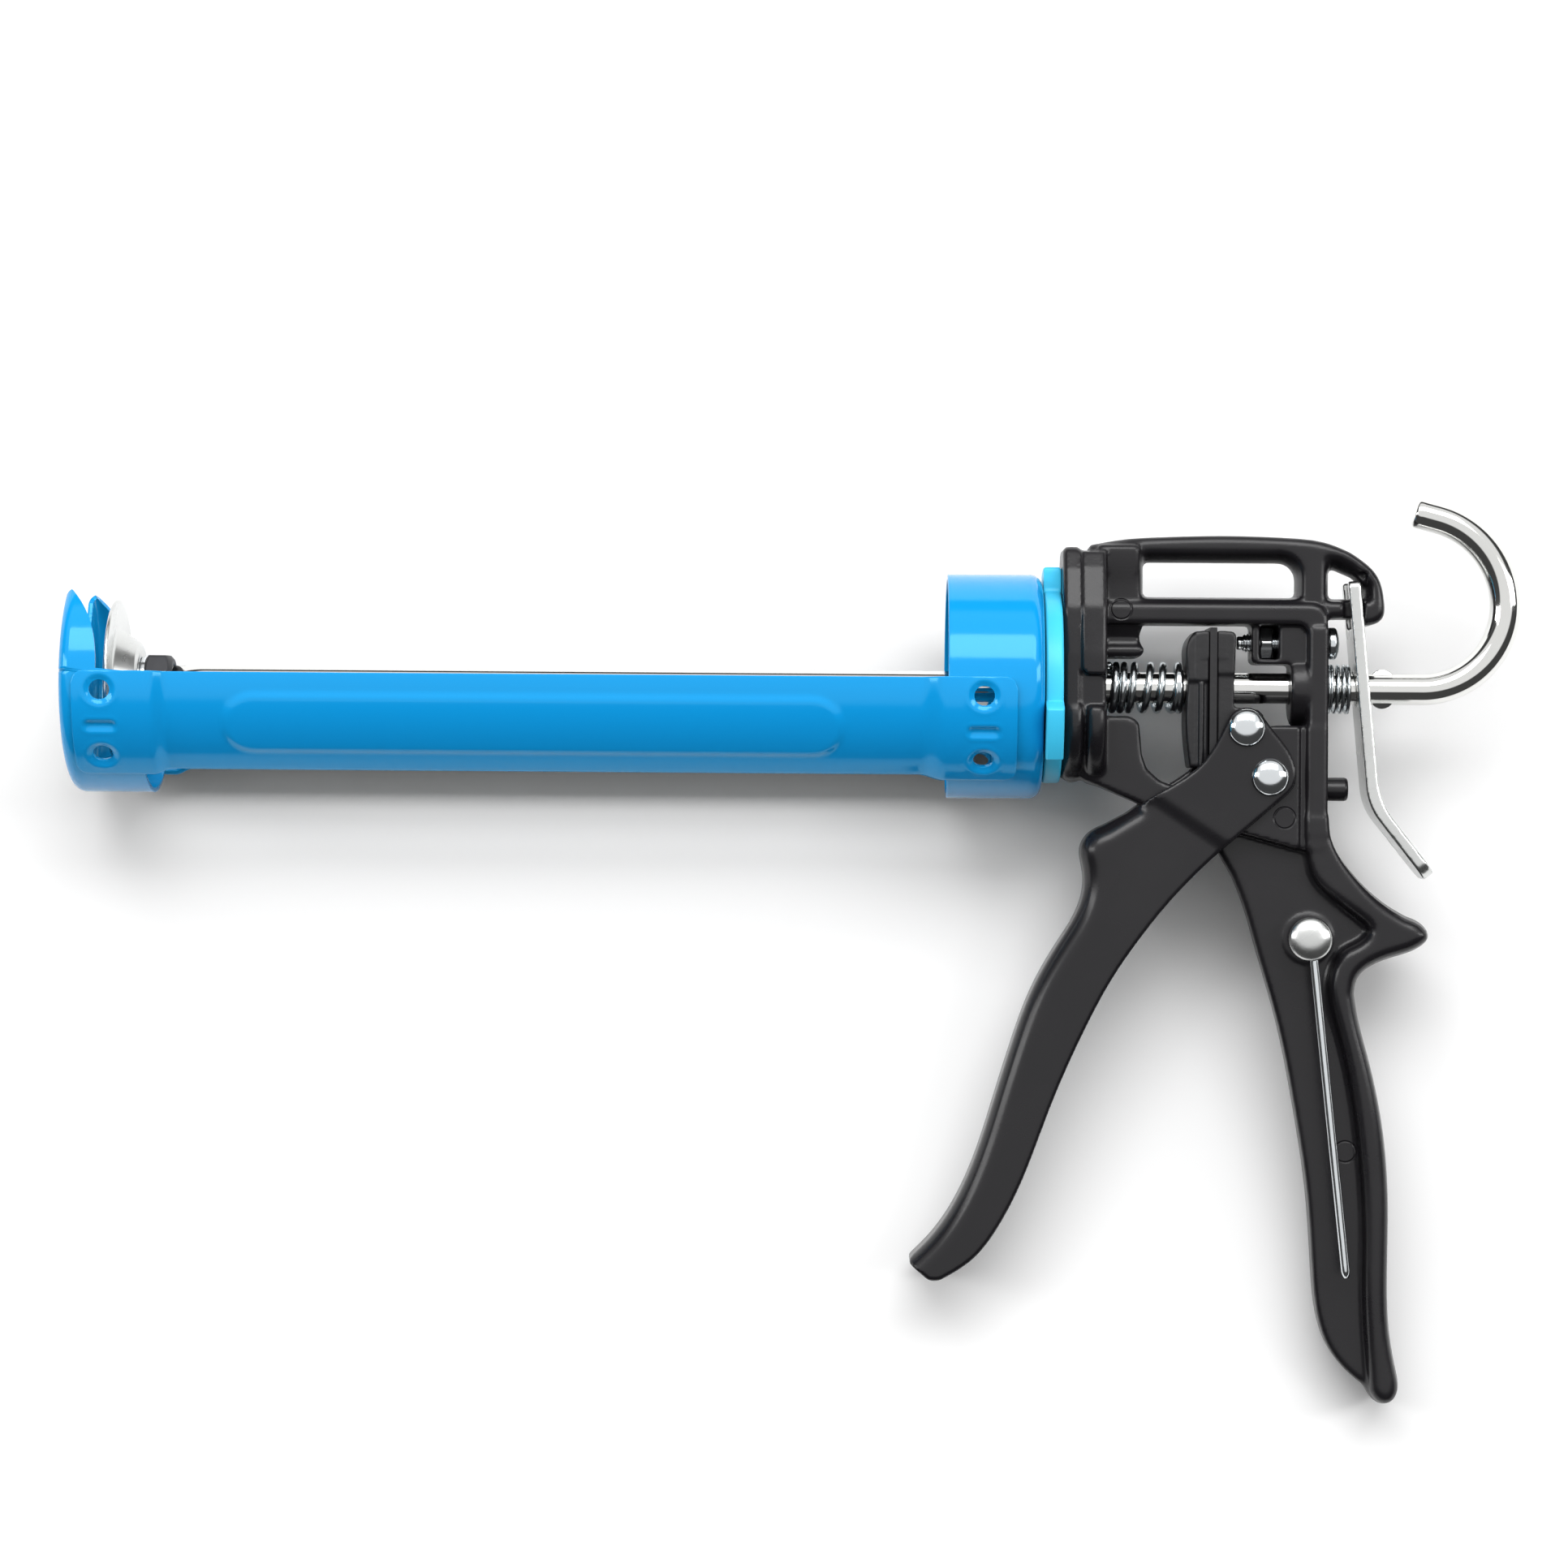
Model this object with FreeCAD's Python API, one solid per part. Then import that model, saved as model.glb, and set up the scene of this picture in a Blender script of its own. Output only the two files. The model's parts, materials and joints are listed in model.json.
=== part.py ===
import FreeCAD
import Part
import math
import os

# Caulking gun: a swivelling sheet-steel cartridge carriage, a die-cast body with grip and
# top handle, a pressed trigger, a friction driver on a hooked push rod and a release lever.
# The parts are drawn with the rod along X, the top handle towards +Y and the mid-plane at
# Z = 0. The rear cap's base is the datum along X, and the front plate lies one carriage
# length in front of it. The finished gun is then laid on its side on Z = 0.
rear_base = 250.2

# ---- carriage: two caps joined by two rails ----
carriage_length = 250.2
front_plate = rear_base - carriage_length
cap_radius = 29.0
sheet = 1.2
front_cap_depth = 20.6
rear_cap_depth = 24.5
cap_corner = 3.2
nozzle_slot_radius = 10.5
horn_angle = 53.0
horn_height = cap_radius * math.sin(math.radians(horn_angle))
horn_half_gap = cap_radius * math.cos(math.radians(horn_angle))
horn_root_depth = 9.7
rail_drop = 0.6
rail_arc = 57.4
rail_centre = -25.3
tab_front_end = 3.8
tab_front_length = 19.5
tab_rear_length = 17.9
tab_rear_inset = 7.0
joggle_front = 4.4
joggle_rear = 6.7
lap_gap = 0.05
tab_hole_radius = 2.6
tab_hole_angles = (-6.0, -41.0)
tab_hole_inset_front = 10.9
tab_hole_inset_rear = 15.4

# ---- swivel ----
spigot_radius = 11.0
spigot_length = 14.0
running_gap = 0.08
face_gap = 0.3
ring_thickness = 4.5
ring_radius = 24.8
lug_height = 6.2
lug_arc = 29.0
lug_centres = (95.0, -25.0, -146.0)
carrier_nut_across = 2 * spigot_radius + 6.0
carrier_nut_height = 6.5
carrier_washer_radius = spigot_radius + 4.0
carrier_washer_thickness = 1.2

# ---- rod, plunger and hook ----
rod_radius = 4.0
rod_front_end = front_plate + 10.3
hook_start = 348.3
hook_lower_radius = 21.5
hook_upper_radius = 23.5
hook_upper_turn = 75.0
hook_tail = 6.5
ear_start = 335.4
ear_length = 5.4
ear_height = rod_radius + 1.1
ear_thickness = 3.2
disc_radius = 20.8
disc_rear_face = front_plate + 11.3
disc_sheet = 1.8
dome_height = 5.9
dome_nut_room = 1.2
dome_flare = 4.8
plunger_washer_radius = rod_radius + 2.2
plunger_washer_thickness = 1.2
m8_across = 2 * rod_radius + 5.0
dome_top_radius = m8_across / math.sqrt(3) + dome_nut_room
dome_base_radius = dome_top_radius + dome_flare
m8_height = 6.8
m8_thin_height = 3.8
contact_gap = 0.1

# ---- body casting ----
hub_flange = 4.0
hub_body = 7.0
hub_step = 2.0
hub_top = 35.9
hub_bottom = -23.8
hub_half_width = 17.0
handle_half = 7.5
beam_low = 16.2
beam_high = 22.6
block_half = 9.0
cheek_inner_wide = 9.5
cheek_gap = 0.3
plate_half = cheek_inner_wide - cheek_gap
bridge_half = plate_half - 0.6
web_half = 4.5
flange_half = 9.5
rear_wall_front = 318.7
rear_wall_back = 323.5
rear_wall_half = 9.5
guide_boss_radius = 9.1
guide_boss_length = 4.6
lug_rail_half = 4.7

# ---- screw, nut, peg ----
screw_height = 11.7
screw_radius = 2.5
screw_head_radius = 4.2
screw_head_height = 3.6
screw_tip_radius = 1.75
screw_tip_length = 1.8
screw_tip_x = 300.6
adjust_nut_across = 8.0
adjust_nut_x = 306.4
adjust_nut_height = 3.2
thread_bite = 0.03
peg_radius = 3.05
peg_height = -25.9
peg_reach = 6.0

# ---- trigger, driver, rivets ----
pivot_x = 308.5
pivot_y = -23.0
driver_rivet_x = 302.4
driver_rivet_y = -10.4
rivet_radius = 2.5
rivet_head_radius = 4.85
rivet_head_height = 2.7
trigger_sheet = 2.0
cheek_inner_narrow = cheek_inner_wide - 1.2
trigger_turn = 26.0
slot_play = 0.45
driver_half = cheek_inner_wide - 2 * cheek_gap
driver_mid_plate = 1.8
driver_bore_gap = 0.3

# ---- springs ----
spring_clearance = 0.7
spring_length = 20.1
spring_inner = rod_radius + 0.8
spring_outer = spring_inner + 1.95
release_spring_inner = rod_radius + 1.6
release_spring_outer = release_spring_inner + 0.9
release_spring_length = 6.2

# ---- release lever ----
lever_sheet = 2.7
lever_half = 8.5
lever_lean = 5.4
lever_hole_radius = rod_radius + 0.55
lever_x_on_axis = 331.1
lever_top = 27.6
lever_bend_y = -30.5
lever_tab_length = 24.0
lever_tab_bend = 33.0
fork_half = 5.0
fork_low = 14.5

# ---- piercing pin ----
pin_rivet_x = 319.1
pin_rivet_y = -64.3
pin_rivet_head = 5.65
pin_rivet_shaft = 2.0
pin_boss_radius = 6.6
pin_wire_radius = 1.15
pin_loop_radius = 3.3
pin_end = (328.9, -150.9)
pin_kink = (320.2, -70.6)

# ---- lying on its side: the far rail's tabs and the end of the palm flange touch down ----
grip_toe_y = -183.0
tab_radius = cap_radius + lap_gap + sheet
toe_reach = math.hypot(grip_toe_y, flange_half)
roll = math.degrees(math.asin(tab_radius / toe_reach) - math.atan2(flange_half, -grip_toe_y))


def vec(x, y, z=0.0):
    return FreeCAD.Vector(x, y, z)


X_AXIS = vec(1, 0)
Z_AXIS = vec(0, 0, 1)
ORIGIN = vec(0, 0)


def rod_along_x(x0, x1, radius, y=0.0):
    return Part.makeCylinder(radius, x1 - x0, vec(x0, y), X_AXIS)


def rod_along_z(x, y, z0, z1, radius):
    return Part.makeCylinder(radius, z1 - z0, vec(x, y, z0), Z_AXIS)


def tube_along_x(x0, x1, outer, inner, y=0.0):
    return rod_along_x(x0, x1, outer, y).cut(rod_along_x(x0 - 1, x1 + 1, inner, y))


def block(x0, x1, y0, y1, z0, z1):
    return Part.makeBox(x1 - x0, y1 - y0, z1 - z0, vec(x0, y0, z0))


def line_edges(points):
    pairs = zip(points[:-1], points[1:])
    return [Part.makeLine(vec(*a), vec(*b)) for a, b in pairs]


def curve_edge(points):
    curve = Part.BSplineCurve()
    curve.interpolate([vec(*p) for p in points])
    return curve.toShape()


def outline(*runs):
    """A closed face from runs of points; a run marked "curve" is one smooth curve through
    its points, a run marked "line" is straight, and each run starts where the last ended."""
    edges = []
    last = runs[-1][1][-1]
    for kind, points in runs:
        chain = [last] + list(points)
        edges += line_edges(chain) if kind == "line" else [curve_edge(chain)]
        last = points[-1]
    return Part.Face(Part.Wire(edges))


def slab(points, half, z0=None):
    """Points joined by straight lines and thickened from -half (or z0) to half."""
    face = Part.Face(Part.Wire(line_edges(list(points) + [points[0]])))
    return thicken(face, half, z0)


def thicken(face, half, z0=None):
    low = -half if z0 is None else z0
    return face.translated(vec(0, 0, low)).extrude(vec(0, 0, half - low))


def hexagon_along_x(x0, x1, across, y=0.0):
    corner = across / math.sqrt(3)
    points = []
    for i in range(7):
        angle = math.radians(60 * i)
        points.append(vec(x0, y + corner * math.sin(angle), corner * math.cos(angle)))
    return Part.Face(Part.makePolygon(points)).extrude(vec(x1 - x0, 0))


def turned(points, sweep=360.0, start=0.0):
    """Straight-sided (x, radius) profile turned about X. Angle 0 is +Z and 90 is +Y."""
    ring = [vec(x, 0, r) for x, r in points]
    face = Part.Face(Part.makePolygon(ring + [ring[0]]))
    return face.rotate(ORIGIN, X_AXIS, -start - sweep).revolve(ORIGIN, X_AXIS, sweep)


def radial_hole(x, angle, radius):
    """A drill through the sheet at one angle round the X axis."""
    a = math.radians(angle)
    out = vec(0, math.sin(a), math.cos(a))
    start = vec(x, 0) + out * (cap_radius - 4 * sheet)
    return Part.makeCylinder(radius, 8 * sheet, start, out)


def mirrored_in_z(shape):
    return shape.mirror(ORIGIN, Z_AXIS)


def offset_points(points, distance):
    """Points moved sideways, to the left of the direction of travel for a positive distance."""
    moved = []
    for i, (x, y) in enumerate(points):
        x0, y0 = points[max(i - 1, 0)]
        x1, y1 = points[min(i + 1, len(points) - 1)]
        length = math.hypot(x1 - x0, y1 - y0)
        moved.append((x - (y1 - y0) / length * distance, y + (x1 - x0) / length * distance))
    return moved


# ---------------------------------------------------------------- carriage
def cup(base_x, rim_x):
    """A pressed cup: flat base at base_x, rounded corner, wall up to rim_x."""
    side = 1 if rim_x > base_x else -1
    r_in = cap_radius - sheet
    c_in = cap_corner - sheet
    outer = [(base_x, 0), (base_x, cap_radius - cap_corner)]
    inner = []
    for i in range(7):
        a = math.radians(90 * i / 6)
        x = base_x + side * (cap_corner - cap_corner * math.cos(a))
        outer.append((x, cap_radius - cap_corner + cap_corner * math.sin(a)))
        x = base_x + side * (sheet + c_in - c_in * math.cos(a))
        inner.append((x, r_in - c_in + c_in * math.sin(a)))
    wall = [(rim_x, cap_radius), (rim_x, r_in)]
    floor = [(base_x + side * sheet, 0)]
    return turned(outer[:-1] + wall + inner[::-1] + floor)


def drill_tabs(shape, x):
    for angle in tab_hole_angles:
        hole = radial_hole(x, angle, tab_hole_radius)
        shape = shape.cut(hole).cut(mirrored_in_z(hole))
    return shape


def front_cap():
    shape = cup(front_plate, front_plate + front_cap_depth)
    # side view: the wall is cut back from the full depth up to two pointed horns
    past = front_cap_depth + 1
    over = 2 * cap_radius
    above = outline(
        ("line", [(-1, horn_height), (1.8, horn_height)]),
        ("curve", [(4.0, horn_height - 2.6), (7.4, 15.4), (9.2, 9.5), (horn_root_depth, 2.0)]),
        ("line", [(past, 2.0), (past, over), (-1, over)]),
    )
    above = above.translated(vec(front_plate, 0))
    shape = shape.cut(thicken(above, cap_radius + 1))
    # front view: a slot for the nozzle, widening to the tips of the horns
    slot_y = [(0.0, nozzle_slot_radius), (9.0, 11.4), (horn_height, horn_half_gap)]
    start = front_plate - 1
    right = [vec(start, y, z) for y, z in slot_y]
    left = [vec(start, y, -z) for y, z in reversed(slot_y)]
    top = [vec(start, over, horn_half_gap), vec(start, over, -horn_half_gap)]
    funnel = Part.Face(Part.makePolygon(right + top + left + [right[0]]))
    shape = shape.cut(funnel.extrude(vec(cap_corner + 2, 0)))
    shape = shape.cut(rod_along_x(start, start + cap_corner + 3, nozzle_slot_radius))
    return drill_tabs(shape, front_plate + tab_hole_inset_front)


def rear_cap():
    base = rear_base
    shape = cup(base, base - rear_cap_depth)
    shape = shape.cut(rod_along_x(base - 5, base + 1, spigot_radius + running_gap))
    return drill_tabs(shape, base - tab_hole_inset_rear)


def cradle_rail():
    """One side strip: a 60 degree arc with a raised tab at each end that laps its cap."""
    tab = tab_radius
    main = cap_radius - rail_drop
    f0 = front_plate + tab_front_end
    f1 = f0 + tab_front_length
    f2 = f1 + joggle_front
    r3 = rear_base - tab_rear_inset
    r2 = r3 - tab_rear_length
    r1 = r2 - joggle_rear
    outer = [(f0, tab), (f1, tab), (f2, main), (r1, main), (r2, tab), (r3, tab)]
    inner = [(x, r - sheet) for x, r in reversed(outer)]
    shape = turned(outer + inner, rail_arc, rail_centre - rail_arc / 2)
    for x in (front_plate + tab_hole_inset_front, rear_base - tab_hole_inset_rear):
        shape = drill_tabs(shape, x)
    return shape


# ---------------------------------------------------------------- swivel
ring_front = rear_base + face_gap
ring_back = ring_front + ring_thickness
hub_front = ring_back + face_gap
hub_back = hub_front + hub_flange + hub_body


def lock_ring():
    shape = rod_along_x(ring_front, ring_back, ring_radius)
    for centre in lug_centres:
        top = ring_radius + lug_height
        profile = [(ring_front, ring_radius - 3), (ring_front, top)]
        profile += [(ring_back, top), (ring_back, ring_radius - 3)]
        shape = shape.fuse(turned(profile, lug_arc, centre - lug_arc / 2))
    bore = rod_along_x(ring_front - 1, ring_back + 1, spigot_radius + running_gap)
    return shape.cut(bore).removeSplitter()


carrier_washer_back = rear_base - sheet - face_gap
carrier_washer_front = carrier_washer_back - carrier_washer_thickness


def carrier_washer():
    bore = spigot_radius + running_gap
    return tube_along_x(carrier_washer_front, carrier_washer_back, carrier_washer_radius, bore)


def carrier_nut():
    back = carrier_washer_front
    shape = hexagon_along_x(back - carrier_nut_height, back, carrier_nut_across)
    bore = spigot_radius - thread_bite
    return shape.cut(rod_along_x(back - carrier_nut_height - 1, back + 1, bore))


# ---------------------------------------------------------------- body casting
def hub_slice(x0, x1, inset):
    """The hub's outline seen from the front, narrower at the top and rounded below."""
    top = hub_top - inset * 0.3
    low = hub_bottom + inset
    half = hub_half_width - inset
    right = [(top, half - 8), (top - 6, half - 5), (20, half - 1), (8, half)]
    right += [(-8, half), (-18, half - 4), (low, half - 9)]
    left = [(y, -z) for y, z in reversed(right)]
    ring = [vec(x0, y, z) for y, z in right + left]
    return Part.Face(Part.makePolygon(ring + [ring[0]])).extrude(vec(x1 - x0, 0))


def top_handle():
    """The carrying handle over the mechanism, ending behind in a downward hook."""
    low = hub_front + 6
    face = outline(
        ("line", [(low, beam_low)]),
        ("line", [(low, 36.6)]),
        ("curve", [(281.5, 38.7), (298.0, 39.1), (312.4, 38.7), (323.8, 37.2), (329.4, 34.9)]),
        ("curve", [(333.2, 32.2), (336.2, 28.9), (337.6, 24.9), (338.1, 21.0)]),
        ("curve", [(337.8, 18.6), (336.4, 17.0), (334.0, 16.3)]),
        ("line", [(331.8, 16.3), (331.8, 18.0), (324.5, 18.0), (321.5, beam_low)]),
    )
    shape = thicken(face, handle_half)
    window = slab([(276.2, 23.3), (315.4, 23.3), (315.4, 29.5), (312.0, 32.3), (276.2, 32.3)], 20)
    gap = slab([(324.0, 23.2), (332.4, 23.2), (332.8, 25.4), (330.2, 28.6), (324.0, 31.2)], 20)
    return shape.cut(window).cut(gap)


def grip_faces():
    """The grip's whole side outline, and the raised palm flange along its back."""
    palm_top = (rear_wall_back, -36.0)
    back = [(325.0, -40.1), (329.0, -46.5), (334.1, -52.0), (339.2, -56.1), (344.2, -59.0)]
    tang = [(348.4, -61.2), (349.6, -63.6), (347.6, -65.9), (341.6, -68.3)]
    tang += [(335.3, -70.8), (331.6, -74.2), (330.6, -78.6)]
    spine = [(331.6, -84.5), (334.2, -94.4), (338.3, -113.7), (339.8, -133.2)]
    spine += [(339.7, -152.7), (340.6, -167.5), (342.5, -177.2)]
    toe = [(342.4, -181.2), (340.2, -183.4), (337.2, -182.6), (335.6, -180.2)]
    front = [(330.0, -175.7), (325.2, -169.5), (322.2, -160.5), (320.9, -148.0)]
    front += [(319.4, -129.0), (316.2, -108.5), (311.7, -86.6), (306.2, -66.5), (299.5, -49.0)]
    whole = outline(
        ("line", [(294.5, -39.5), (300.0, -30.0), palm_top]),
        ("curve", back),
        ("curve", tang),
        ("curve", spine),
        ("curve", toe),
        ("curve", front),
    )
    inner_tang = [(320.6, -49.0), (326.3, -54.7), (332.7, -59.7), (334.4, -61.8), (332.7, -64.6)]
    inner_tang += [(328.3, -67.1), (325.2, -71.6), (324.4, -77.2)]
    inner_spine = [(325.7, -84.0), (328.5, -94.4), (332.3, -117.3), (333.9, -141.2)]
    inner_spine += [(333.9, -155.0), (334.6, -168.0), (335.6, -180.2)]
    flange = outline(
        ("line", [(318.9, -36.0), palm_top]),
        ("curve", back),
        ("curve", tang),
        ("curve", spine),
        ("curve", toe),
        ("curve", inner_spine[-2::-1]),
        ("curve", inner_tang[::-1]),
    )
    return whole, flange


def lower_bridge():
    top = -spring_outer - spring_clearance
    upper = [(266.0, top), (272.6, top), (275.2, top - 1.6), (275.9, -17.3), (277.2, -21.0)]
    upper += [(280.6, -24.0), (285.0, -25.6), (297.5, -25.6), (300.5, -19.2), (307.6, -19.2)]
    upper += [(308.0, -9.8), (rear_wall_back, -9.8), (rear_wall_back, -41.5)]
    lower = [(316.6, -41.5), (301.0, -37.2), (294.5, -39.5), (286.0, -35.4), (274.9, -29.7)]
    lower += [(266.0, -26.0), (259.5, -23.6), (259.5, top)]
    plate = slab([p for p in upper if p[0] > 284] + lower[:4], plate_half)
    return slab(upper + lower, bridge_half).fuse(plate)


def body_casting():
    shape = hub_slice(hub_front, hub_front + hub_flange, 0.0)
    shape = shape.fuse(hub_slice(hub_front + hub_flange, hub_back, hub_step))
    spigot = rod_along_x(hub_front - spigot_length, hub_front, spigot_radius)
    shape = shape.fuse(spigot)
    shape = shape.fuse(block(hub_back - 1, 275.2, beam_high - 1, 36.4, -block_half, block_half))
    shape = shape.fuse(top_handle())
    # boss under the beam, over the front end of the main spring
    low = spring_outer + spring_clearance
    boss = [(265.0, 17.0), (265.0, low), (274.2, low), (276.2, low + 1.8), (275.0, 11.8)]
    boss += [(277.4, 14.4), (277.4, 17.0)]
    shape = shape.fuse(slab(boss, handle_half - 0.6))
    shape = shape.fuse(lower_bridge())
    # rear wall with the rod guide
    wall = [(rear_wall_front, -37.0), (rear_wall_front, 17.0), (317.0, 24.0), (324.0, 24.0)]
    wall += [(rear_wall_back, 17.0), (rear_wall_back, -37.0)]
    shape = shape.fuse(slab(wall, rear_wall_half))
    guide = rod_along_x(rear_wall_front - guide_boss_length, rear_wall_front + 1, guide_boss_radius)
    shape = shape.fuse(guide)
    # captive-nut block for the adjusting screw
    nut_block = slab([(304.2, 6.4), (319.2, 6.4), (319.2, 17.0), (304.2, 17.0)], 6.6)
    slot_end = adjust_nut_x + adjust_nut_height + 1.4
    slot = block(adjust_nut_x - 0.3, slot_end, 7.4, 16.0, -5.0, 12.0)
    shape = shape.fuse(nut_block.cut(slot))
    # grip: thin web, wide palm flange, boss for the piercing pin
    whole, flange = grip_faces()
    shape = shape.fuse(thicken(whole, web_half))
    shape = shape.fuse(thicken(flange, flange_half))
    boss = rod_along_z(pin_rivet_x, pin_rivet_y, -web_half, flange_half, pin_boss_radius)
    shape = shape.fuse(boss)
    # the hook end's rail is narrow where the fork of the release lever straddles it
    notch = [(327.6, 14.0), (332.5, 14.0), (332.7, 19.8), (333.6, 29.6), (327.6, 29.6)]
    shape = shape.cut(slab(notch, 12, lug_rail_half)).cut(slab(notch, -lug_rail_half, -12))
    # bores
    spigot_end = hub_front - spigot_length
    shape = shape.cut(rod_along_x(spigot_end - 1, hub_back + 1, rod_radius + running_gap))
    shape = shape.cut(rod_along_x(310, 330, rod_radius + running_gap))
    shape = shape.cut(rod_along_x(300, 330, screw_radius + running_gap, screw_height))
    shape = shape.cut(rod_along_x(rear_wall_front, 330, peg_radius, peg_height))
    shape = shape.cut(rod_along_z(pivot_x, pivot_y, -20, 20, rivet_radius))
    shape = shape.cut(rod_along_z(pin_rivet_x, pin_rivet_y, -20, 20, pin_rivet_shaft))
    return shape.removeSplitter()


# ---------------------------------------------------------------- fasteners
def rivet(x, y, near, far, shaft, head):
    """A shaft with a domed head outside each face; near and far are those faces' Z."""
    body = rod_along_z(x, y, far - 0.2, near + 0.2, shaft)
    dome_radius = (head ** 2 + rivet_head_height ** 2) / (2 * rivet_head_height)
    for face, side in ((near, 1), (far, -1)):
        centre = vec(x, y, face + side * (rivet_head_height - dome_radius))
        ball = Part.makeSphere(dome_radius, centre)
        low, high = sorted((face, face + side * 2 * rivet_head_height))
        body = body.fuse(ball.common(rod_along_z(x, y, low, high, head + 1)))
    return body.removeSplitter()


def pivot_rivet():
    face = cheek_inner_wide + trigger_sheet + contact_gap
    return rivet(pivot_x, pivot_y, face, -face, rivet_radius, rivet_head_radius)


def driver_rivet():
    face = cheek_inner_wide + trigger_sheet
    return rivet(driver_rivet_x, driver_rivet_y, face, -face, rivet_radius, rivet_head_radius)


pin_loop_z = flange_half + contact_gap + pin_wire_radius


def piercing_rivet():
    near = flange_half + 2 * (contact_gap + pin_wire_radius)
    return rivet(pin_rivet_x, pin_rivet_y, near, -web_half, pin_rivet_shaft, pin_rivet_head)


def adjusting_screw():
    shank_start = screw_tip_x + screw_tip_length
    shape = rod_along_x(screw_tip_x, shank_start + 0.5, screw_tip_radius, screw_height)
    shape = shape.fuse(rod_along_x(shank_start, rear_wall_back + 0.5, screw_radius, screw_height))
    head_end = rear_wall_back + screw_head_height
    head = rod_along_x(rear_wall_back, head_end, screw_head_radius, screw_height)
    rim = [edge for edge in head.Edges if edge.BoundBox.XMin > head_end - 0.01]
    head = head.makeFillet(1.3, rim)
    for turn in (45, 135):
        low, high = screw_height - 2.4, screw_height + 2.4
        arm = block(head_end - 2.0, head_end + 1, low, high, -0.5, 0.5)
        head = head.cut(arm.rotate(vec(0, screw_height), X_AXIS, turn))
    return shape.fuse(head).removeSplitter()


def adjusting_nut():
    end = adjust_nut_x + adjust_nut_height
    shape = hexagon_along_x(adjust_nut_x, end, adjust_nut_across, screw_height)
    return shape.cut(rod_along_x(adjust_nut_x - 1, end + 1, screw_radius - thread_bite, screw_height))


def stop_peg():
    end = rear_wall_back + peg_reach
    peg = rod_along_x(rear_wall_front, end, peg_radius, peg_height)
    rim = [edge for edge in peg.Edges if edge.BoundBox.XMin > end - 0.01]
    return peg.makeChamfer(0.5, rim)


# ---------------------------------------------------------------- trigger
trigger_front = [(266.8, -35.4), (262.6, -37.8), (260.6, -41.4), (261.2, -47.0), (261.3, -52.5)]
trigger_front += [(259.0, -59.2), (255.0, -65.8), (248.2, -78.0), (243.2, -91.5), (238.9, -105.4)]
trigger_front += [(233.2, -123.0), (227.6, -134.8), (222.2, -142.3), (218.0, -146.6)]
trigger_toe = [(217.2, -147.9), (219.6, -150.6), (222.6, -152.8), (225.0, -152.7)]
trigger_rear = [(228.4, -150.8), (233.6, -147.0), (239.4, -139.6), (245.6, -127.6)]
trigger_rear += [(252.8, -108.6), (262.1, -87.2), (268.0, -76.0), (274.9, -65.6), (283.6, -54.6)]
trigger_rear += [(294.8, -43.2), (304.5, -34.8)]
trigger_lobe = [(312.1, -28.2), (314.6, -25.4), (315.2, -22.0), (313.2, -16.0), (308.4, -9.8)]
trigger_lobe += [(303.8, -5.3), (299.6, -5.9), (297.0, -9.9), (294.6, -14.6), (291.0, -19.6)]
trigger_lobe += [(286.6, -23.2), (279.1, -27.8), (272.2, -32.6)]


def trigger_face(front):
    return outline(
        ("curve", trigger_toe),
        ("curve", trigger_rear),
        ("curve", trigger_lobe),
        ("line", [front[0]]),
        ("curve", front[1:]),
    )


def trigger_shell():
    """A pressed channel: two cheeks joined by a front wall, wider where it is riveted."""
    wide = cheek_inner_wide + trigger_sheet
    narrow = cheek_inner_narrow + trigger_sheet
    face = trigger_face(trigger_front)
    band = [(270.0, -36.0), (296.0, -41.0), (320, -34), (320, 0), (285, 0), (268.0, -28.0)]
    upper = slab(band, 3 * wide)
    shape = thicken(face, narrow).fuse(thicken(face, wide).common(upper))
    # hollow: everything behind the inner side of the front wall, open to the rear
    inner = offset_points(trigger_front, trigger_sheet)[1:-1]
    rear = [(232.0, -160.0), (300.0, -160.0), (340.0, -40.0), (320.0, 10.0), (262.0, 10.0)]
    hollow = outline(("line", rear), ("line", [(266.0, -33.0), inner[0]]), ("curve", inner[1:]))
    shape = shape.cut(thicken(hollow, cheek_inner_narrow))
    shape = shape.cut(thicken(hollow, cheek_inner_wide).common(upper))
    shape = shape.cut(rod_along_z(pivot_x, pivot_y, -20, 20, rivet_radius + running_gap))
    shape = shape.cut(rod_along_z(driver_rivet_x, driver_rivet_y, -20, 20, rivet_radius))
    return shape.removeSplitter()


# ---------------------------------------------------------------- driver
def driver_travel():
    """How far the driver rivet swings forward and down over the trigger's stroke."""
    a = math.radians(trigger_turn)
    dx = driver_rivet_x - pivot_x
    dy = driver_rivet_y - pivot_y
    forward = dx - (dx * math.cos(a) - dy * math.sin(a))
    down = dy - (dx * math.sin(a) + dy * math.cos(a))
    return forward, down


plate_front = 293.1
plate_back = plate_front + driver_mid_plate


def driver_slot():
    """The slot that lets the rivet drop while it pushes the driver forward."""
    reach = rivet_radius + slot_play
    down = driver_travel()[1]
    x, y = driver_rivet_x, driver_rivet_y
    slot = rod_along_z(x, y, -20, 20, reach).fuse(rod_along_z(x, y - down, -20, 20, reach))
    return slot.fuse(block(x - reach, x + reach, y - down, y, -20, 20))


def rod_hole(gap):
    return rod_along_x(270, 320, rod_radius + gap)


def driver_front_half():
    face = outline(
        ("line", [(plate_front, -20.6), (plate_front, 14.6), (288.8, 14.6)]),
        ("curve", [(287.6, 3.0), (287.2, -5.0), (287.2, -12.0), (288.2, -20.6)]),
    )
    return thicken(face, driver_half).cut(rod_hole(driver_bore_gap))


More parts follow.
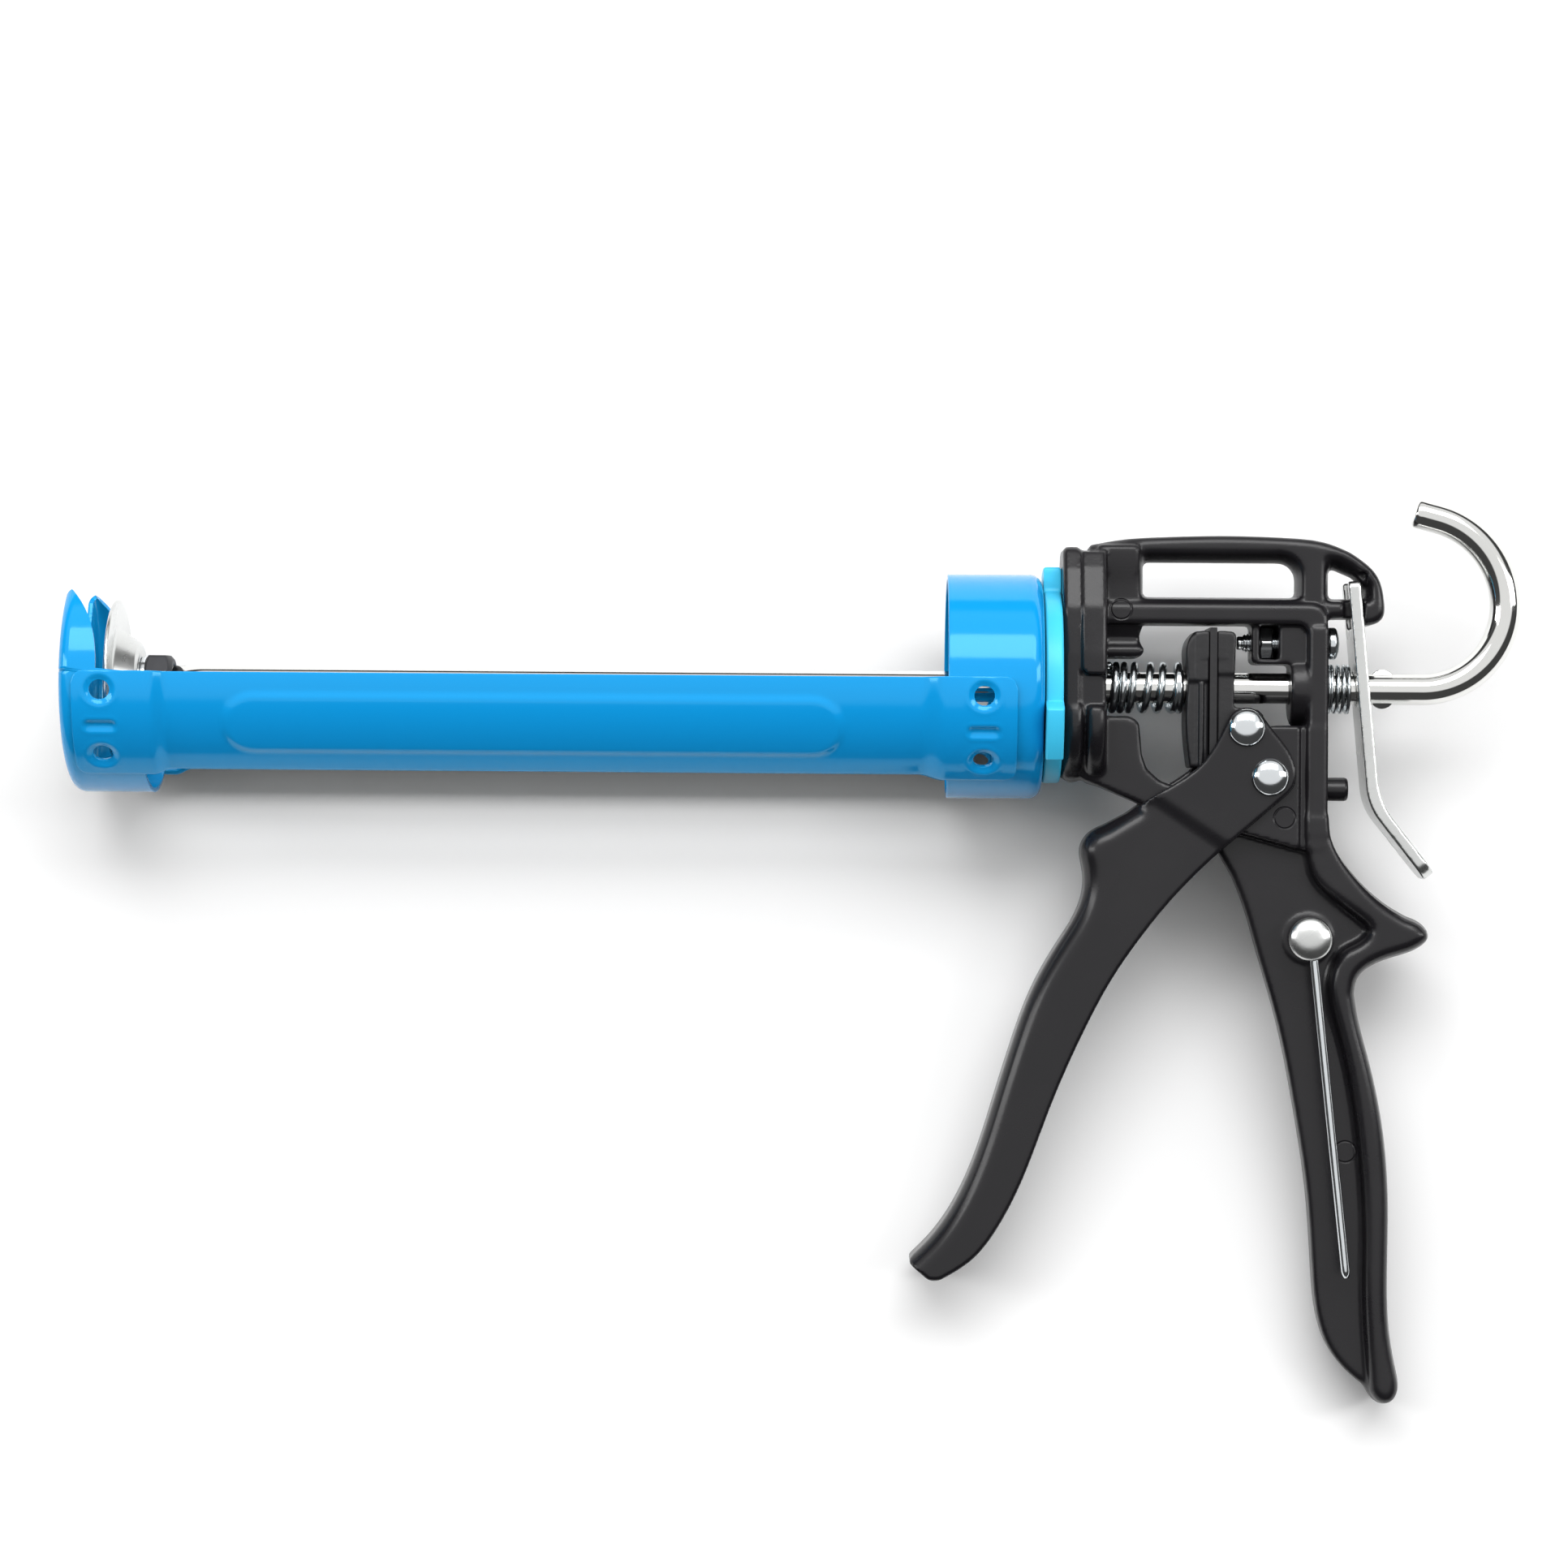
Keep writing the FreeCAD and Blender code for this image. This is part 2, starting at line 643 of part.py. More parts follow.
def driver_rear_half():
    tail = driver_rivet_x + rivet_radius + slot_play + 1.6
    low = driver_rivet_y - driver_travel()[1] - rivet_radius - slot_play - 1.2
    points = [(plate_back, 14.6), (299.8, 14.6), (299.4, 2.0), (299.4, -5.0)]
    points += [(tail - 1.5, -5.6), (tail, -7.0), (tail, low), (plate_back, low)]
    shape = slab(points, driver_half)
    pad = block(plate_back, 300.4, 7.6, 14.4, -7.6, 7.6)
    return shape.fuse(pad).cut(rod_hole(driver_bore_gap)).cut(driver_slot()).removeSplitter()


def grip_plate():
    shape = block(plate_front, plate_back, -20.2, 15.4, -driver_half - 0.4, driver_half + 0.4)
    return shape.cut(rod_hole(running_gap))


# ---------------------------------------------------------------- springs
def main_spring():
    spring_front = hub_back + face_gap
    return tube_along_x(spring_front, spring_front + spring_length, spring_outer, spring_inner)


def release_spring():
    start = rear_wall_back + 0.1
    return tube_along_x(start, start + release_spring_length, release_spring_outer, release_spring_inner)


# ---------------------------------------------------------------- release lever
def lever_frame(s, depth):
    """A point s up the lever's front face and depth behind it."""
    a = math.radians(lever_lean)
    x = lever_x_on_axis - s * math.sin(a) + depth * math.cos(a)
    return x, s * math.cos(a) + depth * math.sin(a)


def release_lever():
    """A leaning strip with a fork at the top, a rod hole and a bent thumb tab below."""
    bend = lever_bend_y
    turn = math.radians(lever_tab_bend + lever_lean)
    corner = lever_frame(bend, 0)
    mitre = lever_sheet * math.tan(math.radians(lever_tab_bend) / 2)
    corner_back = lever_frame(bend + mitre, lever_sheet)
    along = (math.sin(turn) * lever_tab_length, -math.cos(turn) * lever_tab_length)
    end = (corner[0] + along[0], corner[1] + along[1])
    across = (math.cos(turn) * lever_sheet, math.sin(turn) * lever_sheet)
    points = [lever_frame(lever_top, 0), corner, end, (end[0] + across[0], end[1] + across[1])]
    points += [corner_back, lever_frame(lever_top, lever_sheet)]
    shape = slab(points, lever_half)
    prongs = [lever_frame(fork_low, -3), lever_frame(fork_low, 6)]
    prongs += [lever_frame(40, 6), lever_frame(40, -3)]
    fork = slab(prongs, fork_half)
    hole = rod_along_x(320, 345, lever_hole_radius)
    return shape.cut(fork).cut(hole)


# ---------------------------------------------------------------- rod and plunger
def push_rod():
    """A round rod with a crimp behind the release lever and a hanging hook at the end."""
    shape = rod_along_x(rod_front_end, hook_start, rod_radius)
    disc = Part.Face(Part.Wire(Part.makeCircle(rod_radius, vec(hook_start, 0), X_AXIS)))
    lower = disc.revolve(vec(hook_start, hook_lower_radius), Z_AXIS, 90)
    rightmost = hook_start + hook_lower_radius
    circle = Part.makeCircle(rod_radius, vec(rightmost, hook_lower_radius), vec(0, 1))
    side = Part.Face(Part.Wire(circle))
    centre = vec(rightmost - hook_upper_radius, hook_lower_radius)
    upper = side.revolve(centre, Z_AXIS, hook_upper_turn)
    a = math.radians(hook_upper_turn)
    end = centre + vec(math.cos(a), math.sin(a)) * hook_upper_radius
    tail = Part.makeCylinder(rod_radius, hook_tail, end, vec(-math.sin(a), math.cos(a)))
    closed = [edge for edge in tail.Edges if edge.isClosed()]
    rim = [edge for edge in closed if (edge.CenterOfMass - end).Length > hook_tail - 0.01]
    tail = tail.makeChamfer(0.8, rim)
    middle = ear_start + ear_length / 2
    top = Part.Arc(vec(ear_start, 0), vec(middle, ear_height), vec(ear_start + ear_length, 0))
    low = Part.Arc(vec(ear_start + ear_length, 0), vec(middle, -ear_height), vec(ear_start, 0))
    ears = thicken(Part.Face(Part.Wire([top.toShape(), low.toShape()])), ear_thickness / 2)
    return shape.fuse([lower, upper, tail, ears]).removeSplitter()


def plunger_disc():
    rear = disc_rear_face
    top = rear + dome_height
    bend = disc_sheet * 0.6
    outer = [(rear, disc_radius), (rear, dome_base_radius)]
    outer += [(rear + 0.55 * dome_height, dome_base_radius - 2.2)]
    outer += [(top - 0.8, dome_top_radius + 1.2), (top, dome_top_radius)]
    inner = [(x - disc_sheet, r - bend) for x, r in outer[1:]]
    bore = rod_radius + running_gap
    ring = outer + [(top, bore), (top - disc_sheet, bore)] + inner[::-1]
    return turned(ring + [(rear - disc_sheet, disc_radius)])


dome_top = disc_rear_face + dome_height


def plunger_washer():
    start = dome_top + contact_gap
    end = start + plunger_washer_thickness
    return tube_along_x(start, end, plunger_washer_radius, rod_radius + running_gap)


def rod_nut(start, height):
    shape = hexagon_along_x(start, start + height, m8_across)
    return shape.cut(rod_along_x(start - 1, start + height + 1, rod_radius - thread_bite))


def plunger_nut():
    start = dome_top + plunger_washer_thickness + 2 * contact_gap
    nut = rod_nut(start, m8_height)
    cone = [(start - 1, 0), (start - 1, 12), (start + m8_height - 1.3, m8_across / 2 + 1.0)]
    cone += [(start + m8_height, m8_across / 2 - 0.6), (start + m8_height, 0)]
    return nut.common(turned(cone))


def plunger_front_nut():
    end = dome_top - disc_sheet - contact_gap
    return rod_nut(end - m8_thin_height, m8_thin_height)


# ---------------------------------------------------------------- piercing pin
def piercing_pin():
    """A straight wire with an eye round its rivet, lying just above the palm flange."""
    eye = vec(pin_rivet_x, pin_rivet_y, pin_loop_z)
    loop = Part.makeTorus(pin_loop_radius, pin_wire_radius, eye, Z_AXIS)
    knee = vec(pin_kink[0], pin_kink[1], pin_loop_z)
    end = vec(pin_end[0], pin_end[1], pin_loop_z)
    heading = (knee - eye).normalize()
    start = eye + heading * pin_loop_radius
    neck = Part.makeCylinder(pin_wire_radius, (knee - start).Length, start, knee - start)
    wire = Part.makeCylinder(pin_wire_radius, (end - knee).Length, knee, end - knee)
    joint = Part.makeSphere(pin_wire_radius, knee)
    return loop.fuse([neck, joint, wire]).removeSplitter()


def all_parts():
    rail = cradle_rail()
    return {
        "front_cap": front_cap(),
        "rear_cap": rear_cap(),
        "cradle_rail_near": rail,
        "cradle_rail_far": mirrored_in_z(rail),
        "swivel_lock_ring": lock_ring(),
        "carrier_washer": carrier_washer(),
        "carrier_retaining_nut": carrier_nut(),
        "body_casting": body_casting(),
        "adjusting_screw": adjusting_screw(),
        "adjusting_nut": adjusting_nut(),
        "lever_stop_peg": stop_peg(),
        "trigger_pivot_rivet": pivot_rivet(),
        "piercing_pin_rivet": piercing_rivet(),
        "piercing_pin": piercing_pin(),
        "trigger_shell": trigger_shell(),
        "driver_rivet": driver_rivet(),
        "driver_front_half": driver_front_half(),
        "driver_rear_half": driver_rear_half(),
        "grip_plate": grip_plate(),
        "main_spring": main_spring(),
        "release_spring": release_spring(),
        "release_lever": release_lever(),
        "push_rod": push_rod(),
        "plunger_disc": plunger_disc(),
        "plunger_washer": plunger_washer(),
        "plunger_nut": plunger_nut(),
        "plunger_front_nut": plunger_front_nut(),
    }


def laid_on_side(shapes):
    """The placement that rolls the gun onto its side and centres it on Z = 0."""
    turn = FreeCAD.Placement(ORIGIN, FreeCAD.Rotation(X_AXIS, roll))
    compound = Part.makeCompound([s.transformed(turn.toMatrix()) for s in shapes])
    box = compound.optimalBoundingBox(False)
    shift = vec(-(box.XMin + box.XMax) / 2, -(box.YMin + box.YMax) / 2, -box.ZMin)
    return FreeCAD.Placement(shift, turn.Rotation)


parts = all_parts()
to_row = laid_on_side(parts.values())
os.makedirs("parts", exist_ok=True)
for name, shape in parts.items():
    placed = shape.transformed(to_row.toMatrix())
    placed.exportStep("parts/" + name + ".step")
    print(name, shape.isValid(), len(shape.Solids), round(shape.Volume))
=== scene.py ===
import json
import logging
import math
from dataclasses import dataclass
from enum import Enum
from typing import Sequence

import bpy
import numpy as np
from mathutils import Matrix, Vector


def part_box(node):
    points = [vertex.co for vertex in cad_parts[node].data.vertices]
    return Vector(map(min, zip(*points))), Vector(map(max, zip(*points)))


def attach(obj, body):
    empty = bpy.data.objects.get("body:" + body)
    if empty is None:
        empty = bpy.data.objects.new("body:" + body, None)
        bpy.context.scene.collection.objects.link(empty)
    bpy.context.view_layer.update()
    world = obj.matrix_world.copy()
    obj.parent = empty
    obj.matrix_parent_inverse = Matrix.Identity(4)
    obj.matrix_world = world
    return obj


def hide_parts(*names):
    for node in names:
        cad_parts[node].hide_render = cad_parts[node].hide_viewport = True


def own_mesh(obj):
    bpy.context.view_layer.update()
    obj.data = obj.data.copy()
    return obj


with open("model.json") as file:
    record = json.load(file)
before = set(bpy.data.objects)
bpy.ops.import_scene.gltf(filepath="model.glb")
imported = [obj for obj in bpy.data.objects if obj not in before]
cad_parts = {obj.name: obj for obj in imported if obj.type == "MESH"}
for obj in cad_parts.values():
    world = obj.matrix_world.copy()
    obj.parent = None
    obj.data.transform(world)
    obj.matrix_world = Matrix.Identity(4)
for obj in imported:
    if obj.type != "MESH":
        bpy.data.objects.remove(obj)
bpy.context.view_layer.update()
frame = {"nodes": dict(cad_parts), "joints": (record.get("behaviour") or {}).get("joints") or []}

# A caulking gun lying on its side: an enamelled sheet-steel cartridge carriage on a swivel, a
# black die-cast body with a grip, a pressed trigger, a friction driver on a hooked push rod,
# and a plated release lever. Sizes are millimetres in the gun's own frame, which has the rod
# along X, the top handle towards +Y and the near side towards +Z, until a mesh is placed.

log = logging.getLogger("caulking_gun")
Array = np.ndarray
Points = Sequence[tuple[float, float]]

REAR_BASE = 250.0
PIVOT_AT = (308.5, -23.0)
DRIVER_RIVET_AT = (302.4, -10.4)
PIN_EYE_AT = (319.1, -64.3)
SCREW_Y = 11.7
PEG_Y = -25.9


# ------------------------------------------------------------------ the gun's frame
@dataclass(frozen=True)
class Lay:
    """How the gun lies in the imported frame: rolled about the rod's axis, then moved."""

    origin: tuple[float, float, float]
    roll: float

    @classmethod
    def from_joints(cls, joints: list[dict]) -> "Lay":
        """Reads the roll from the trigger's pivot and the place from the carriage swivel.

        Args:
            joints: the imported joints.

        Returns:
            The gun's place in the row frame.
        """
        by_name = {joint["name"]: joint for joint in joints}
        axis = by_name["trigger_squeeze"]["axis"]
        x, y, z = by_name["carriage_swivel"]["pos_m"]
        return cls((x - REAR_BASE / 1000, y, z), math.atan2(-axis[1], axis[2]))

    def place(self, points: Array) -> Array:
        """Turns points about X by the roll and moves them.

        Args:
            points: (n, 3) millimetres in the gun's frame.

        Returns:
            (n, 3) metres in the row frame.
        """
        c, s = math.cos(self.roll), math.sin(self.roll)
        x, y, z = np.asarray(points, float).T / 1000
        ox, oy, oz = self.origin
        return np.stack([x + ox, y * c - z * s + oy, y * s + z * c + oz], axis=1)

    def span(self, node: str) -> tuple[float, float]:
        """The first and last X of a CAD node, in the gun's millimetres."""
        low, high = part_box(node)
        return (low.x - self.origin[0]) * 1000, (high.x - self.origin[0]) * 1000


LAY = Lay.from_joints(frame["joints"])


# ------------------------------------------------------------------ lines
def spline(points: Points, step: float = 0.8) -> Array:
    """A natural cubic spline through points, with chord length as its parameter.

    Args:
        points: the points that the curve passes through.
        step: the rough distance between samples.

    Returns:
        (n, 2) samples, both ends included.
    """
    p = np.asarray(points, float)
    gap = np.maximum(np.linalg.norm(np.diff(p, axis=0), axis=1), 1e-9)
    t = np.concatenate([[0.0], np.cumsum(gap)])
    n = len(p)
    matrix = np.eye(n)
    right = np.zeros((n, p.shape[1]))
    inner = np.arange(1, n - 1)
    matrix[inner, inner - 1] = gap[:-1]
    matrix[inner, inner] = 2 * (gap[:-1] + gap[1:])
    matrix[inner, inner + 1] = gap[1:]
    slope = np.diff(p, axis=0) / gap[:, None]
    right[inner] = 6 * (slope[1:] - slope[:-1])
    bend = np.linalg.solve(matrix, right)
    at = np.linspace(0.0, t[-1], max(2, int(t[-1] / step) + 1))
    i = np.clip(np.searchsorted(t, at, side="right") - 1, 0, n - 2)
    a = (t[i + 1] - at)[:, None] / gap[i][:, None]
    b = 1 - a
    curve = a * p[i] + b * p[i + 1]
    lift = (a ** 3 - a) * bend[i] + (b ** 3 - b) * bend[i + 1]
    return curve + lift * gap[i][:, None] ** 2 / 6


def outline(*runs: tuple[str, Points]) -> Array:
    """A closed outline from runs of points; each run starts where the last one ended.

    Args:
        runs: ("line" or "curve", points) pairs.

    Returns:
        (n, 2) corners of the outline.
    """
    last = runs[-1][1][-1]
    pieces = []
    for kind, points in runs:
        chain = [last, *points]
        pieces.append(spline(chain)[1:] if kind == "curve" else np.asarray(chain[1:], float))
        last = points[-1]
    return np.concatenate(pieces)


def rounded(points: Points, radius: float | Sequence[float], closed: bool = True, steps: int = 5) -> Array:
    """A polygon with an arc at each corner, no larger than its sides allow.

    Args:
        points: the corners.
        radius: one radius, or one for each corner.
        closed: whether the last corner joins the first.
        steps: the number of spans in each arc.

    Returns:
        (n, 2) points along the rounded line.
    """
    p = np.asarray(points, float)
    radii = np.full(len(p), radius, float) if np.isscalar(radius) else np.asarray(radius, float)
    line = []
    for i, corner in enumerate(p):
        ends = not closed and i in (0, len(p) - 1)
        to_last, to_next = p[i - 1] - corner, p[(i + 1) % len(p)] - corner
        long_last, long_next = np.linalg.norm(to_last), np.linalg.norm(to_next)
        cosine = np.clip(np.dot(to_last, to_next) / (long_last * long_next), -1, 1)
        half = math.acos(cosine) / 2
        if ends or radii[i] <= 0 or half > math.radians(88):
            line.append(corner[None])
            continue
        reach = min(radii[i] / math.tan(half), 0.49 * long_last, 0.49 * long_next)
        start, stop = corner + to_last / long_last * reach, corner + to_next / long_next * reach
        u = np.linspace(0, 1, steps + 1)[:, None]
        weight = math.sin(half)
        bottom = (1 - u) ** 2 + 2 * u * (1 - u) * weight + u ** 2
        line.append(((1 - u) ** 2 * start + 2 * u * (1 - u) * weight * corner + u ** 2 * stop) / bottom)
    return np.concatenate(line)


def ease(value: Array, low: float, high: float) -> Array:
    """0 below low, 1 above high and a smooth S between them."""
    t = np.clip((np.asarray(value, float) - low) / (high - low), 0, 1)
    return t * t * (3 - 2 * t)


# ------------------------------------------------------------------ meshes
def mesh_object(name: str, points: Array, quads: Array, tris: Array | None = None) -> bpy.types.Object:
    """A smooth-shaded object from whole arrays, placed in the row frame.

    Args:
        name: the piece's name.
        points: (n, 3) millimetres in the gun's frame.
        quads: (m, 4) corners of the four-sided faces.
        tris: (k, 3) corners of the three-sided faces, if any.

    Returns:
        The new object, linked to the scene.
    """
    tris = np.zeros((0, 3), int) if tris is None else tris
    loops = np.concatenate([quads.ravel(), tris.ravel()]).astype(np.int32)
    sizes = np.concatenate([np.full(len(quads), 4), np.full(len(tris), 3)])
    starts = np.concatenate([[0], np.cumsum(sizes)[:-1]]).astype(np.int32)
    mesh = bpy.data.meshes.new(name)
    mesh.vertices.add(len(points))
    mesh.vertices.foreach_set("co", LAY.place(points).astype(np.float32).ravel())
    mesh.loops.add(len(loops))
    mesh.loops.foreach_set("vertex_index", loops)
    mesh.polygons.add(len(sizes))
    mesh.polygons.foreach_set("loop_start", starts)
    mesh.update(calc_edges=True)
    mesh.validate()
    mesh.polygons.foreach_set("use_smooth", np.ones(len(mesh.polygons), bool))
    piece = bpy.data.objects.new(name, mesh)
    bpy.context.scene.collection.objects.link(piece)
    return piece


def grid_quads(rows: int, columns: int, wrap_rows: bool = False, wrap_columns: bool = False) -> Array:
    """The faces of a grid whose point (row, column) is number row * columns + column.

    Args:
        rows: how many rows of points there are.
        columns: how many points are in each row.
        wrap_rows: whether the last row joins the first.
        wrap_columns: whether the last column joins the first.

    Returns:
        (m, 4) corners.
    """
    r = np.arange(rows if wrap_rows else rows - 1)[:, None]
    c = np.arange(columns if wrap_columns else columns - 1)[None, :]
    r1, c1 = (r + 1) % rows, (c + 1) % columns
    corners = [r * columns + c, r * columns + c1, r1 * columns + c1, r1 * columns + c]
    return np.stack([np.broadcast_to(k, (r.size, c.size)).ravel() for k in corners], axis=1)


def end_fans(rows: int, sides: int) -> Array:
    """The triangles that close the first and last row of a grid whose columns wrap.

    Args:
        rows: how many rows of points there are.
        sides: how many points are in each row.

    Returns:
        (2 * sides, 3) corners; the two middle points follow the grid's own points.
    """
    k = np.arange(sides)
    k1 = (k + 1) % sides
    first, top = rows * sides, (rows - 1) * sides
    front = np.stack([np.full(sides, first), k1, k], axis=1)
    back = np.stack([np.full(sides, first + 1), top + k, top + k1], axis=1)
    return np.concatenate([front, back])


def turned(
    name: str, profile: Array, segments: int = 72, axis_at: tuple[float, float] = (0, 0), along: str = "X"
) -> bpy.types.Object:
    """A closed profile turned about a line along X: (x, r) goes to (x, r sin a, r cos a).

    Along Z, (z, r) goes to (r cos a, r sin a, z) instead.

    Args:
        name: the piece's name.
        profile: (n, 2) closed ring of (x, radius), or an open line between two poles.
        segments: how many steps go round.
        axis_at: the axis's place: Y and Z, or X and Y for an axis along Z.
        along: "X" or "Z".

    Returns:
        The new object.
    """
    poles = profile[0, 1] < 1e-6 and profile[-1, 1] < 1e-6
    ring = profile[1:-1] if poles else profile
    a = np.linspace(0, 2 * math.pi, segments, endpoint=False)
    x = np.repeat(ring[:, 0], segments)
    y = np.outer(ring[:, 1], np.sin(a)).ravel() + axis_at[0]
    z = np.outer(ring[:, 1], np.cos(a)).ravel() + axis_at[1]
    points = np.stack([x, y, z], axis=1)
    quads = grid_quads(len(ring), segments, wrap_rows=not poles, wrap_columns=True)
    tris = None
    if poles:
        ends = [(profile[0, 0], *axis_at), (profile[-1, 0], *axis_at)]
        points = np.concatenate([points, np.array(ends)])
        tris = end_fans(len(ring), segments)
    if along == "Z":
        h, u, v = points.T
        points = np.stack([u, v, h], axis=1)
    piece = mesh_object(name, points, quads, tris)
    face_outward(piece)
    return piece


def swept(name: str, path: Array, radius: float | Array, sides: int = 16) -> bpy.types.Object:
    """A round section carried along a path, in frames that turn as little as they can.

    Each point is path + radius (cos b * normal + sin b * binormal). The ends are closed by a fan to the
    path's first and last points.

    Args:
        name: the piece's name.
        path: (n, 3) centres.
        radius: one radius, or one for each centre.
        sides: how many points are in each ring.

    Returns:
        The new object.
    """
    ahead = np.gradient(path, axis=0)
    ahead /= np.linalg.norm(ahead, axis=1)[:, None]
    normal = np.zeros_like(path)
    start = np.array([0.0, 0.0, 1.0])
    for i, tangent in enumerate(ahead):
        start = start - np.dot(start, tangent) * tangent
        start = start / np.linalg.norm(start)
        normal[i] = start
    across = np.cross(ahead, normal)
    size = np.broadcast_to(np.asarray(radius, float), len(path)).copy()
    b = np.linspace(0, 2 * math.pi, sides, endpoint=False)
    ring = np.cos(b)[None, :, None] * normal[:, None] + np.sin(b)[None, :, None] * across[:, None]
    points = (path[:, None] + size[:, None, None] * ring).reshape(-1, 3)
    quads = grid_quads(len(path), sides, wrap_columns=True)
    tips = np.array([path[0], path[-1]])
    piece = mesh_object(name, np.concatenate([points, tips]), quads, end_fans(len(path), sides))
    face_outward(piece)
    return piece


def face_outward(piece: bpy.types.Object) -> None:
    """Turns a closed mesh's faces so that its signed volume is positive."""
    mesh = piece.data
    mesh.calc_loop_triangles()
    co = np.empty(len(mesh.vertices) * 3, np.float32)
    mesh.vertices.foreach_get("co", co)
    co = co.reshape(-1, 3).astype(float)
    corners = np.empty(len(mesh.loop_triangles) * 3, np.int32)
    mesh.loop_triangles.foreach_get("vertices", corners)
    a, b, c = (co[corners.reshape(-1, 3)[:, i]] for i in range(3))
    if np.einsum("ij,ij->i", a - co.mean(axis=0), np.cross(b - a, c - a)).sum() < 0:
        mesh.flip_normals()


def join(name: str, pieces: list[bpy.types.Object]) -> bpy.types.Object:
    """Joins loose meshes into the first one and gives it a name."""
    with bpy.context.temp_override(active_object=pieces[0], selected_editable_objects=pieces):
        bpy.ops.object.join()
    pieces[0].name = name
    pieces[0].data.name = name
    return pieces[0]


def soften(piece: bpy.types.Object, width: float, segments: int = 2, angle: float = 40.0) -> None:
    """A bevel modifier on the piece's sharp edges; width is in millimetres."""
    bevel = piece.modifiers.new("edges", "BEVEL")
    bevel.width = width / 1000
    bevel.segments = segments
    bevel.limit_method = "ANGLE"
    bevel.angle_limit = math.radians(angle)
    bevel.harden_normals = False
    bevel.use_clamp_overlap = True


def thicken(piece: bpy.types.Object, thickness: float, edge: float) -> None:
    """Gives a sheet its wall, inwards from its faces, and rolls the edge of the cut."""
    wall = piece.modifiers.new("sheet", "SOLIDIFY")
    wall.thickness = thickness / 1000
    wall.offset = -1.0
    wall.use_even_offset = True
    soften(piece, edge, segments=2, angle=50.0)


# ------------------------------------------------------------------ solids from distances
def outline_distance(corners: Array, u: Array, v: Array) -> Array:
    """The signed distance from each (u, v) to a closed outline, negative inside.

    Args:
        corners: (n, 2) outline.
        u: first coordinates, any shape.
        v: second coordinates, the same shape.

    Returns:
        Distances in the shape of u.
    """
    a = corners.astype(np.float32)
    b = np.roll(a, -1, axis=0)
    keep = np.abs(b - a).sum(axis=1) > 1e-6
    a, b = a[keep], b[keep]
    px, py = u.astype(np.float32).ravel()[:, None], v.astype(np.float32).ravel()[:, None]
    ex, ey = b[:, 0] - a[:, 0], b[:, 1] - a[:, 1]
    wx, wy = px - a[:, 0], py - a[:, 1]
    t = np.clip((wx * ex + wy * ey) / (ex * ex + ey * ey), 0, 1)
    near = np.sqrt(((wx - t * ex) ** 2 + (wy - t * ey) ** 2).min(axis=1))
    above = (a[:, 1] <= py) & (b[:, 1] > py)
    below = (a[:, 1] > py) & (b[:, 1] <= py)
    left = ex * wy - ey * wx
    turns = (above & (left > 0)).sum(axis=1) - (below & (left < 0)).sum(axis=1)
    return np.where(turns != 0, -near, near).reshape(u.shape)


def rounded_corner(p: Array, q: Array) -> Array:
    """The distance to the corner between two faces: straight beside each, round past both."""
    return np.minimum(np.maximum(p, q), 0) + np.hypot(np.maximum(p, 0), np.maximum(q, 0))


def plate(flat: Array, across: Array, low: float | Array, high: float | Array, edge: float) -> Array:
    """A flat outline given a thickness, with its edges rounded.

    Args:
        flat: signed distance to the outline.
        across: the coordinate through the thickness.
        low: where the plate starts.
        high: where it ends.
        edge: the radius of its edges.

    Returns:
        The signed distance to the plate.
    """
    middle, half = (low + high) / 2, (high - low) / 2
    return rounded_corner(flat + edge, np.abs(across - middle) - half + edge) - edge


def fuse(a: Array, b: Array, fillet: float = 0.0) -> Array:
    """The union of two solids, with a fillet where they meet."""
    if fillet <= 0:
        return np.minimum(a, b)
    h = np.clip(0.5 + 0.5 * (b - a) / fillet, 0, 1)
    return b + (a - b) * h - fillet * h * (1 - h)


def cut(a: Array, b: Array, fillet: float = 0.0) -> Array:
    """The first solid without the second, with a rounded lip where they meet."""
    return -fuse(-a, b, fillet)


